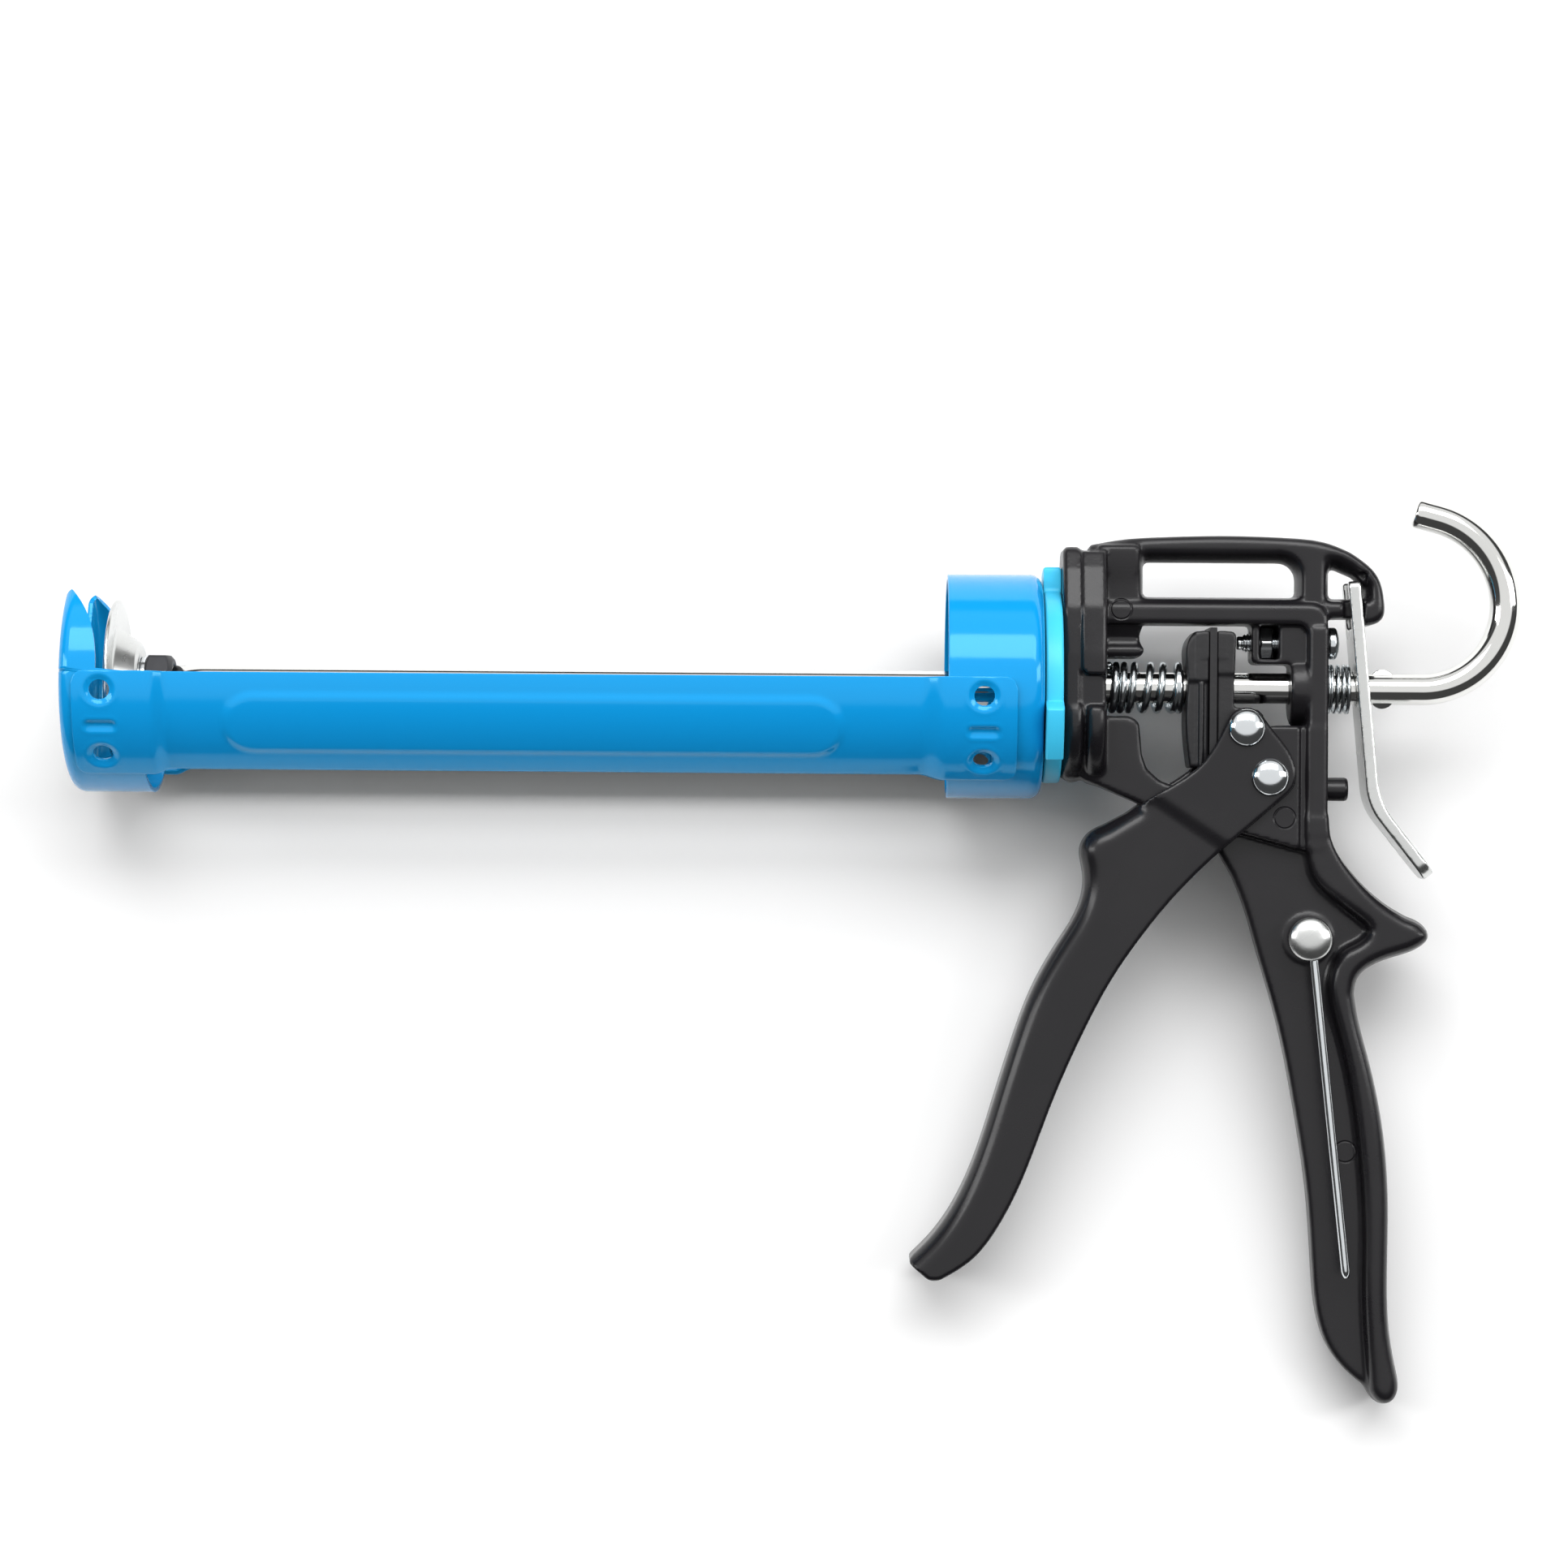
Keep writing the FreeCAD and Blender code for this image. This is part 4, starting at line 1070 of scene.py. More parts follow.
            bar = self.oblong(x - hole_x, s - bar_s, self.bar_size)
            height = height - self.bar_depth * (1 - ease(bar, -0.9, 0.35))
            height = height + self.lip * np.exp(-(((bar - 0.6) / 0.35) ** 2))
        angle = np.radians(self.rail_middle) + s / self.tab_radius
        points = np.stack([x, height * np.sin(angle), side * height * np.cos(angle)], axis=-1)
        quads = grid_quads(*x.shape)
        quads = quads[~gone.ravel()[quads].all(axis=1)]
        if side > 0:
            quads = quads[:, ::-1]
        return mesh_object(name, points.reshape(-1, 3), quads)

    @staticmethod
    def even_line(low: float, high: float, centres: Sequence[float], pitch: float) -> Array:
        """Samples from low to high that fall half a pitch either side of each centre."""
        marks = [low]
        for centre in sorted(centres):
            marks += [centre - 4.5 * pitch, centre + 4.5 * pitch]
        marks.append(high)
        spans = []
        for a, b in zip(marks[:-1], marks[1:]):
            spans.append(np.linspace(a, b, max(2, round((b - a) / pitch)) + 1)[:-1])
        return np.append(np.concatenate(spans), high)

    def round_hole(
        self, x: Array, s: Array, x_line: Array, s_line: Array, centre: tuple[float, float], pitch: float
    ) -> tuple[Array, Array, Array]:
        """Warps the squares of the grid round a hole into circles.

        A square ring at Chebyshev distance c from the centre goes to a circle whose radius
        grows evenly from the hole's edge, and blends back to the square by 4.5 pitches.

        Args:
            x: the grid's first coordinate.
            s: the grid's second coordinate.
            x_line: the grid's lines across x before any warp.
            s_line: the grid's lines across s before any warp.
            centre: the middle of the hole.
            pitch: the grid's spacing there.

        Returns:
            The warped coordinates, and which points lie on or inside the hole's edge.
        """
        dx, ds = np.meshgrid((x_line - centre[0]) / pitch, (s_line - centre[1]) / pitch, indexing="ij")
        ring, reach = np.maximum(np.abs(dx), np.abs(ds)), np.maximum(np.hypot(dx, ds), 1e-6)
        near = ring < 4.51
        edge_ring = 2.5
        radius = self.hole_radius + (ring - edge_ring) * (4.5 * pitch - self.hole_radius) / (4.5 - edge_ring)
        blend = ease(ring, 3.4, 4.5)
        round_x, round_s = dx / reach * radius, ds / reach * radius
        square_x, square_s = dx * pitch, ds * pitch
        new_x = centre[0] + round_x + (square_x - round_x) * blend
        new_s = centre[1] + round_s + (square_s - round_s) * blend
        return np.where(near, new_x, x), np.where(near, new_s, s), ring < edge_ring + 0.01

    @staticmethod
    def corner_trim(x: Array, first: float, last: float, radius: float) -> Array:
        """How far each side of the strip is drawn in at x to round its four corners."""
        short = np.maximum(radius - (x - first), 0) + np.maximum(radius - (last - x), 0)
        return radius - np.sqrt(np.maximum(radius ** 2 - short ** 2, 0))

    @staticmethod
    def oblong(x: Array, s: Array, half: tuple[float, float], radius: float = 1.0) -> Array:
        """The distance to a rounded oblong with the given half sizes."""
        return rounded_corner(np.abs(x) - half[0] + radius, np.abs(s) - half[1] + radius) - radius

    def panel_mask(self, x: Array, s: Array) -> Array:
        """1 on the raised panel, 0 off it, with a rounded shoulder 3 mm wide."""
        middle, half = sum(self.panel) / 2, (self.panel[1] - self.panel[0]) / 2
        distance = self.oblong(x - middle, s, (half, self.panel_half), radius=8.0)
        return 1 - ease(distance, -1.4, 1.0)


# ------------------------------------------------------------------ swivel
@dataclass
class Swivel:
    """The lugged plastic lock ring, and the washer and nut that hold the carriage."""

    radius: float = 24.8
    lug_radius: float = 31.0
    lug_arc: float = 29.0
    lug_centres: tuple[float, ...] = (95.0, -25.0, -146.0)
    bore: float = 11.1

    def build(self) -> None:
        """Makes and dresses the ring; the hidden washer and nut keep their CAD shape."""
        fit(self.ring(), "lock_ring", Slot.TURQUOISE_PLASTIC, "swivel_lock_ring")
        dress("carrier_washer", Slot.ZINC_FASTENER)
        dress("carrier_retaining_nut", Slot.ZINC_PLATE)

    def ring(self) -> bpy.types.Object:
        """The ring: a rounded section round each angle a, as far out as R(a).

        R(a) is the ring's radius, rising by an S-shaped step to the lugs' radius over each
        lug's arc. The section is a rounded oblong from the bore to R(a).
        """
        start, stop = LAY.span("swivel_lock_ring")
        angle = np.linspace(-180, 180, 720, endpoint=False)
        reach = np.full(angle.shape, self.radius)
        for centre in self.lug_centres:
            away = np.abs((angle - centre + 180) % 360 - 180)
            lift = 1 - ease(away, self.lug_arc / 2 - 1.6, self.lug_arc / 2 + 0.9)
            reach = reach + (self.lug_radius - self.radius) * lift ** 0.6
        corner = 0.7
        turn = np.linspace(0, math.pi / 2, 5)
        x = np.concatenate([start + corner - corner * np.cos(turn), stop - corner + corner * np.sin(turn)])
        drop = np.concatenate([corner - corner * np.sin(turn), corner - corner * np.cos(turn)])
        inner = np.array([stop, stop, start, start])
        inner_share = np.array([0.55, 0.0, 0.0, 0.55])
        a = np.radians(angle)[None, :]
        outer_r = reach[None, :] - drop[:, None]
        inner_r = self.bore + inner_share[:, None] * (reach[None, :] - self.bore)
        radius = np.concatenate([outer_r, inner_r])
        x = np.concatenate([x, inner])[:, None] + 0 * a
        points = np.stack([x, radius * np.sin(a), radius * np.cos(a)], axis=-1).reshape(-1, 3)
        piece = mesh_object("lock_ring_moulding", points, grid_quads(len(radius), 720, True, True))
        face_outward(piece)
        return piece


# ------------------------------------------------------------------ body casting
@dataclass
class Casting:
    """The die-cast body: swivel hub, top handle, beam, rear wall, bridge and grip."""

    step: float = 0.72
    handle_half: float = 7.5
    beam_half: float = 8.8
    wall_half: float = 9.4
    bridge_half: float = 8.6
    plate_half: float = 9.2
    web_half: float = 4.5
    flange_half: float = 9.5
    lug_rail_half: float = 4.7
    screw_y: float = SCREW_Y
    rod_bore: float = 4.15

    def build(self) -> None:
        """Works out the casting as one distance field and wraps it in a mesh."""
        box = SampleBox((239.5, -185.2, -17.7), (351.2, 41.0, 17.7), self.step)
        solid = self.handle(box)
        solid = fuse(solid, self.hub(box), 0.8)
        solid = fuse(solid, self.bridge(box), 0.9)
        solid = fuse(solid, self.grip(box), 1.2)
        solid = self.bores(box, solid)
        piece = box.mesh("body_casting_shape", solid)
        fit(piece, "frame", Slot.BLACK_CASTING, "body_casting")

    def hub(self, box: SampleBox) -> Array:
        """The swivel hub: a flange, a raised block with bevelled sides, a ribbed barrel."""
        low, high = 255.35, 266.25
        front = rounded(
            [(35.9, 9.0), (29.9, 12.2), (20, 15.2), (8, 16.2), (-8, 16.2), (-18, 12.6), (-23.8, 8.0),
             (-23.8, -8.0), (-18, -12.6), (-8, -16.2), (8, -16.2), (20, -15.2), (29.9, -12.2),
             (35.9, -9.0)], 3.0)
        shape = box.front(front)
        flange = plate(shape, box.x, low, low + 4.4, 1.1)
        body = plate(shape + 0.9, box.x, low, high, 0.8)
        raised = plate(shape - 0.8, box.x, low + 4.4, high, 0.9)
        raised = np.maximum(raised, np.maximum(2.9 - box.y, box.y - 34.6))
        raised = np.maximum(raised, (2.9 - box.y + low + 5.0 - box.x) * 0.707 + 0.9)
        solid = fuse(fuse(flange, body, 0.8), raised, 0.6)
        barrel = np.hypot(box.y + 9.0, box.z * 0.92) - 15.6
        front_rib = plate(barrel, box.x, 256.2, 260.4, 1.5)
        rear_rib = plate(barrel - 0.5, box.x, 261.3, 266.3, 1.9)
        ribs = fuse(front_rib, rear_rib, 0.5)
        ribs = np.maximum(ribs, box.y + 5.2)
        solid = fuse(solid, ribs, 0.7)
        spigot = box.rod(241.4, low + 1, 11.0, edge=0.6)
        return fuse(solid, spigot)

    def handle(self, box: SampleBox) -> Array:
        """The carrying handle with its two windows, the beam and the rear wall under it.

        A window's opening grows from its clear size at mid-plane to its rim on each face,
        as the square of the height, so that its wall is steep outside and flat inside.
        """
        top = outline(
            ("line", [(262.0, 16.3), (262.0, 36.4)]),
            ("curve", [(270.2, 37.9), (281.5, 38.7), (298.0, 39.1), (312.4, 38.7), (323.8, 37.2),
                       (329.4, 34.9)]),
            ("curve", [(333.2, 32.2), (336.2, 28.9), (337.6, 24.9), (338.1, 21.0)]),
            ("curve", [(337.8, 18.6), (336.4, 17.0), (334.0, 16.3)]),
            ("line", [(331.8, 16.3), (331.8, 18.0), (324.5, 18.0), (321.5, 16.3)]),
        )
        solid = plate(box.side(top), box.z, -self.handle_half, self.handle_half, 2.0)
        rise = np.clip(np.abs(box.z) / self.handle_half, 0, 1) ** 2
        windows = (
            (rounded([(276.2, 23.4), (315.4, 23.4), (315.4, 32.3), (276.2, 32.3)], [1.2, 1.2, 5.0, 1.2]),
             rounded([(275.2, 22.5), (317.2, 22.5), (317.2, 34.9), (275.2, 34.9)], [1.2, 1.2, 7.0, 1.6])),
            (rounded([(324.0, 23.2), (332.4, 23.2), (332.8, 25.4), (330.2, 28.6), (324.0, 31.2)], 0.9),
             rounded([(322.4, 21.9), (335.4, 21.9), (335.2, 27.0), (330.3, 32.0), (326.9, 33.9),
                      (322.4, 34.4)], 1.4)),
        )
        for opening, lip in windows:
            clear, rim = box.side(opening), box.side(lip)
            solid = cut(solid, clear + (rim - clear) * rise, 0.8)
        corner = [(265.0, 16.3), (318.2, 16.3), (318.2, -38.0), (323.4, -38.0), (323.4, 21.6), (265.0, 21.6)]
        band = rounded(corner, [0.5, 2.6, 0.5, 0.5, 4.2, 0.5])
        beam = plate(box.side(band), box.z, -self.beam_half, self.beam_half, 1.0)
        solid = fuse(solid, beam, 0.5)
        wall = box.brick((318.9, 323.5), (-38.0, 16.0), (-self.wall_half, self.wall_half), 0.8)
        solid = fuse(solid, wall, 0.4)
        gusset = box.side(rounded([(319.5, 21.4), (327.2, 21.4), (323.0, 17.2), (319.5, 14.0)], 0.6))
        solid = fuse(solid, plate(gusset, box.z, -6.4, 6.4, 0.7), 0.6)
        lean = 9.0 - 1.5 * ease(36.0 - box.y, 0.0, 14.0)
        block = rounded([(264.0, 21.0), (275.0, 21.0), (275.0, 36.6), (264.0, 36.6)], 1.2)
        solid = fuse(solid, plate(box.side(block), box.z, -lean, lean, 1.3), 0.5)
        boss = outline(
            ("line", [(264.0, 17.0), (264.0, 7.45), (273.2, 7.45)]),
            ("curve", [(275.6, 8.0), (276.4, 9.4), (275.6, 11.2), (275.2, 13.0), (275.9, 15.4)]),
            ("line", [(276.6, 17.5)]),
        )
        width = np.interp(box.y, [7.4, 8.6, 9.9, 11.3, 13.0, 14.6, 16.0], [5.6, 6.5, 6.6, 5.4, 5.3, 6.2, 6.9])
        solid = fuse(solid, plate(box.side(boss), box.z, -width, width, 0.8), 0.5)
        guide = box.rod(314.1, 319.6, 9.1, edge=0.8)
        solid = fuse(solid, guide, 0.8)
        nut_block = rounded([(304.0, 6.1), (319.2, 6.1), (319.2, 17.0), (304.0, 17.0)], 1.4)
        nut_block = plate(box.side(nut_block), box.z, -6.6, 6.6, 0.7)
        pocket = box.brick((306.05, 311.05), (7.4, 16.3), (-5.0, 12.0), 0.5)
        return fuse(solid, cut(nut_block, pocket, 0.3), 0.4)

    def bridge(self, box: SampleBox) -> Array:
        """The lower bridge from the hub to the rear wall, and the trigger's pivot plate."""
        upper = [(266.0, -7.45), (272.6, -7.45), (275.2, -8.9), (275.9, -17.3), (277.2, -21.0)]
        upper += [(280.6, -24.0), (285.0, -25.6), (297.5, -25.6), (300.5, -19.2), (307.6, -19.2)]
        upper += [(308.0, -9.7), (323.0, -9.7), (323.0, -41.5)]
        lower = [(316.6, -41.5), (301.0, -37.2), (294.5, -39.5), (286.0, -35.4), (274.9, -29.7)]
        lower += [(266.0, -26.0), (259.5, -23.6), (259.5, -7.45)]
        radii = [2.5] * len(upper + lower)
        whole = rounded(upper + lower, radii)
        web = plate(box.side(whole), box.z, -self.bridge_half, self.bridge_half, 1.1)
        plate_line = rounded([p for p in upper if p[0] > 284] + lower[:4], 1.0)
        pivot = plate(box.side(plate_line), box.z, -self.plate_half, self.plate_half, 0.6)
        groove = box.brick((316.4, 318.2), (-42.0, 5.0), (self.plate_half - 1.2, 12.0), 0.5)
        far_groove = box.brick((316.4, 318.2), (-42.0, 5.0), (-12.0, 1.2 - self.plate_half), 0.5)
        return cut(cut(fuse(web, pivot, 0.4), groove, 0.4), far_groove, 0.4)

    def grip(self, box: SampleBox) -> Array:
        """The grip: a thin web and the raised palm flange along its back."""
        palm_top = (323.5, -33.0)
        back = [(325.0, -40.1), (329.0, -46.5), (334.1, -52.0), (339.2, -56.1), (344.2, -59.0)]
        tang = [(348.4, -61.2), (349.6, -63.6), (347.6, -65.9), (341.6, -68.3)]
        tang += [(335.3, -70.8), (331.6, -74.2), (330.6, -78.6)]
        spine = [(331.6, -84.5), (334.2, -94.4), (338.3, -113.7), (339.8, -133.2)]
        spine += [(339.7, -152.7), (340.6, -167.5), (342.5, -177.2)]
        toe = [(342.4, -181.2), (340.2, -183.4), (337.2, -182.6), (335.6, -180.2)]
        front = [(330.0, -175.7), (325.2, -169.5), (322.2, -160.5), (320.9, -148.0)]
        front += [(319.4, -129.0), (316.2, -108.5), (311.7, -86.6), (305.9, -66.5)]
        front += [(302.4, -55.0), (299.8, -48.6)]
        start = [(294.5, -39.5), (300.0, -30.0), palm_top]
        rear_edge = (("curve", back), ("curve", tang), ("curve", spine), ("curve", toe))
        whole = outline(("line", start), *rear_edge, ("curve", front))
        inner = [(334.6, -168.0), (333.9, -155.0), (333.9, -141.2)]
        inner += [(332.3, -117.3), (328.5, -94.4), (325.7, -84.0)]
        inner_tang = [(324.4, -77.2), (325.2, -71.6), (328.3, -67.1), (332.7, -64.6), (334.4, -61.8)]
        inner_tang += [(332.7, -59.7), (326.3, -54.7), (320.6, -49.0), (318.6, -40.0)]
        corner = ("line", [(318.4, -33.0), palm_top])
        flange = outline(corner, *rear_edge, ("curve", inner), ("curve", inner_tang))
        web = plate(box.side(whole), box.z, -self.web_half, self.web_half, 1.5)
        far = ease(-box.y, 40.0, 62.0)
        edge = 1.0 + 1.9 * far
        raised = plate(box.side(flange), box.z, -self.flange_half, self.flange_half, edge)
        return fuse(web, raised, 2.2)

    def bores(self, box: SampleBox, solid: Array) -> Array:
        """Adds the pin's boss, drills the casting and cuts the narrow rail that the lever's fork straddles.
        """
        boss = box.pin(*PIN_EYE_AT, 0, self.web_half + 0.5, 6.6, edge=0.5)
        solid = fuse(solid, boss, 0.6)
        wide = rounded([(327.4, 12.0), (332.2, 14.0), (332.7, 19.8), (333.6, 30.0), (327.4, 30.0)], 0.4)
        notch = np.maximum(box.side(wide), self.lug_rail_half - np.abs(box.z))
        solid = cut(solid, notch, 0.3)
        bore = box.rod(230.0, 330.0, self.rod_bore, edge=0.1)
        solid = cut(solid, bore, 0.3)
        screw = box.rod(300.0, 330.0, 2.6, edge=0.1, y=self.screw_y)
        solid = cut(solid, screw)
        solid = cut(solid, box.rod(321.0, 330.0, 3.15, edge=0.1, y=PEG_Y), 0.2)
        return solid


# ------------------------------------------------------------------ trigger and driver
@dataclass
class Trigger:
    """The pressed trigger: a channel with a well-rounded front, wider at its rivets."""

    step: float = 0.62
    sheet: float = 2.0
    wide: float = 11.5
    narrow: float = 10.3
    front_edge: float = 5.2

    def build(self) -> None:
        """Works out the shell's distance field and wraps it in a mesh."""
        box = SampleBox((214.5, -156.0, -12.6), (318.5, -1.0, 12.6), self.step)
        piece = box.mesh("trigger_pressing", self.shell(box))
        fit(piece, "trigger", Slot.BLACK_TRIGGER, "trigger_shell")

    def front(self) -> Array:
        """The front wall's outer line from its throat down to the toe."""
        line = [(266.8, -35.4), (262.6, -37.8), (260.6, -41.4), (261.2, -47.0), (261.3, -52.5)]
        line += [(259.0, -59.2), (255.0, -65.8), (248.2, -78.0), (243.2, -91.5), (238.9, -105.4)]
        line += [(233.2, -123.0), (227.6, -134.8), (222.2, -142.3), (218.0, -146.6)]
        return np.array(line)

    def shell(self, box: SampleBox) -> Array:
        """The wall between an outer body and the same body drawn in by the sheet.

        Both bodies run on behind the rear edge, where the true side outline cuts them, so
        the channel stays open to the rear. Their half width grows by an S-shaped step
        towards the rivets.
        """
        front = self.front()
        toe = [(217.2, -147.9), (219.6, -150.6), (222.6, -152.8), (225.0, -152.7)]
        rear = [(228.4, -150.8), (233.6, -147.0), (239.4, -139.6), (245.6, -127.6)]
        rear += [(252.8, -108.6), (262.1, -87.2), (268.0, -76.0), (274.9, -65.6), (283.6, -54.6)]
        rear += [(294.8, -43.2), (304.5, -34.8)]
        lobe = [(312.1, -28.2), (314.6, -25.4), (315.2, -22.0), (313.2, -16.0), (308.4, -9.8)]
        lobe += [(303.8, -5.3), (299.6, -5.9), (297.0, -9.9), (294.6, -14.6), (291.0, -19.6)]
        lobe += [(286.6, -23.2), (279.1, -27.8), (272.2, -32.6)]
        throat, face = tuple(front[0]), ("curve", front[1:])
        side = outline(("curve", toe), ("curve", rear), ("curve", lobe), ("line", [throat]), face)
        flat = box.side(side)
        behind = [(218.0, -146.6), (214.0, -150.0), (214.0, -175.0), (345.0, -175.0), (345.0, 30.0)]
        behind += [(274.0, 30.0)]
        body = box.side(outline(("line", behind), ("line", [(274.0, -31.0), throat]), face))
        bar = (box.x - 282.6) * 0.555 + (box.y + 26.3) * 0.832
        widen = ease(bar, -6.6, -1.2)
        half = self.narrow + (self.wide - self.narrow) * widen
        outer = plate(body, box.z, -half, half, self.front_edge)
        half = half - self.sheet
        inner = plate(body + self.sheet, box.z, -half, half, self.front_edge - self.sheet)
        wall = cut(outer, inner, 0.25)
        trimmed = np.maximum(wall, flat)
        soft = fuse_max(wall, flat, 0.7)
        solid = np.where(body < -7.0, soft, trimmed)
        for x, y in (PIVOT_AT, DRIVER_RIVET_AT):
            solid = cut(solid, box.pin(x, y, -20, 20, 2.6, edge=0.1))
        return solid


def fuse_max(a: Array, b: Array, edge: float) -> Array:
    """The part that two solids share, with its new edges rounded."""
    return -fuse(-a, -b, edge)


@dataclass
class Driver:
    """The friction driver: two cast halves either side of a hardened plate."""

    step: float = 0.42
    half: float = 8.9
    bore: float = 4.3

    def build(self) -> None:
        """Makes the two halves; the plate between them keeps its CAD shape."""
        box = SampleBox((285.8, -22.0, -9.8), (307.5, 16.2, 9.8), self.step)
        for end, solid in (("front", self.front_half(box)), ("rear", self.rear_half(box))):
            piece = box.mesh(f"driver_{end}_casting", solid)
            fit(piece, "driver", Slot.BLACK_DRIVER, f"driver_{end}_half")
        dress("grip_plate", Slot.BLACK_DRIVER)

    def front_half(self, box: SampleBox) -> Array:
        """The front half: a bowed face, a shoulder and two upright ribs."""
        face = outline(
            ("line", [(293.05, -20.6), (293.05, 14.4), (289.4, 14.4)]),
            ("curve", [(287.9, 12.6), (287.5, 3.0), (287.15, -5.0), (287.2, -12.0), (288.2, -20.6)]),
        )
        flat = box.side(face)
        bulge = self.half - 0.35 * ease(289.6 - box.x, 0.0, 0.6) - 0.7 * ease(2.0 - box.y, 0.0, 1.0)
        solid = plate(flat, box.z, -bulge, bulge, 0.8)
        rib = box.brick((290.4, 291.6), (-21.0, 1.5), (-self.half, self.half), 0.4)
        solid = fuse(solid, np.maximum(rib, flat), 0.3)
        pad = box.brick((290.7, 293.05), (7.2, 14.5), (-self.half - 0.1, self.half + 0.1), 0.3)
        solid = fuse(solid, pad, 0.2)
        return cut(solid, box.rod(280, 320, self.bore, edge=0.1))

    def rear_half(self, box: SampleBox) -> Array:
        """The rear half: its block, its tail over the rivet, and the rivet's slot."""
        points = [(294.95, 14.4), (299.9, 14.4), (299.5, 2.0), (299.4, -5.0), (305.5, -5.6)]
        points += [(307.0, -7.0), (307.0, -18.4), (294.95, -18.4)]
        flat = box.side(rounded(points, [0.4, 1.4, 2.0, 0.8, 0.8, 1.0, 1.0, 0.4]))
        half = self.half - 0.5 * ease(4.0 - box.y, 0.0, 1.5)
        solid = plate(flat, box.z, -half, half, 0.6)
        pad = box.brick((294.95, 297.6), (7.2, 14.5), (-self.half - 0.1, self.half + 0.1), 0.3)
        solid = fuse(solid, pad, 0.2)
        slot = [(299.45, -10.4), (305.35, -10.4), (305.35, -14.35), (299.45, -14.35)]
        solid = cut(solid, np.maximum(box.side(np.array(slot)) - 0.05, np.abs(box.z) - 30))
        solid = cut(solid, box.pin(302.4, -10.4, -20, 20, 2.95, edge=0.1))
        solid = cut(solid, box.pin(302.4, -14.35, -20, 20, 2.95, edge=0.1))
        return cut(solid, box.rod(280, 320, self.bore, edge=0.1))


# ------------------------------------------------------------------ release lever
@dataclass
class ReleaseLever:
    """The leaning strip with a fork above, a hole for the rod and a bent thumb tab."""

    lean: float = 5.4
    x_on_axis: float = 331.1
    sheet: float = 3.1
    half: float = 8.5
    top: float = 27.6
    bend_at: float = -30.5
    bend: float = 33.0
    tab: float = 24.0
    fork_low: float = 14.5
    fork_half: float = 5.0
    hole: float = 4.6
    step: float = 0.42
    round_bend: float = 16.0
    tip_radius: float = 4.5

    def build(self) -> None:
        """Works out the lever's distance field and wraps it in a mesh."""
        box = SampleBox((326.6, -53.6, -9.4), (353.4, 28.6, 9.4), self.step)
        piece = box.mesh("release_lever_strip", self.strip(box))
        fit(piece, "release_lever", Slot.ZINC_PLATE, "release_lever")

    def strip(self, box: SampleBox) -> Array:
        """The strip: its height up the lever and depth behind its front face, both bent.

        Below the bend the strip turns back by an arc, so the side view is a rounded line
        thickened by the sheet; the front view is a tapering outline with rounded corners.
        """
        a = math.radians(self.lean)
        up = (box.y * math.cos(a) - (box.x - self.x_on_axis) * math.sin(a))
        deep = (box.x - self.x_on_axis) * math.cos(a) + box.y * math.sin(a)
        turn = math.radians(self.bend)
        foot = (math.sin(turn) * self.tab, self.bend_at - math.cos(turn) * self.tab)
        back = (self.sheet * math.cos(turn), self.sheet * math.sin(turn))
        mitre = self.bend_at + self.sheet * math.tan(turn / 2)
        line = [(0, self.top), (0, self.bend_at), foot, (foot[0] + back[0], foot[1] + back[1])]
        line += [(self.sheet, mitre), (self.sheet, self.top)]
        side = rounded(line, [0.5, self.round_bend, 0.5, 0.5, self.round_bend + self.sheet, 0.5], steps=8)
        profile = outline_distance(side, deep[:, :, 0], up[:, :, 0])[:, :, None]
        tab = deep * math.sin(turn) + (self.bend_at - up) * math.cos(turn)
        length = np.where(up < self.bend_at, self.top - self.bend_at + np.maximum(tab, 0), self.top - up)
        length = np.maximum(length, 0)
        whole = self.top - self.bend_at + self.tab
        half = self.half - 0.9 * ease(length, whole - 22, whole)
        end = np.maximum(length - whole + self.tip_radius, 0)
        start = np.maximum(1.6 - length, 0)
        half = half - (self.tip_radius - np.sqrt(np.maximum(self.tip_radius ** 2 - end ** 2, 0)))
        half = half - (1.6 - np.sqrt(np.maximum(2.56 - start ** 2, 0)))
        solid = plate(profile, box.z, -half, half, 0.45)
        fork = np.maximum(np.abs(box.z) - self.fork_half, self.fork_low + 1.0 - up)
        solid = cut(solid, fork, 0.3)
        rod = np.hypot(box.y, box.z) - self.hole
        return cut(solid, rod, 0.3)


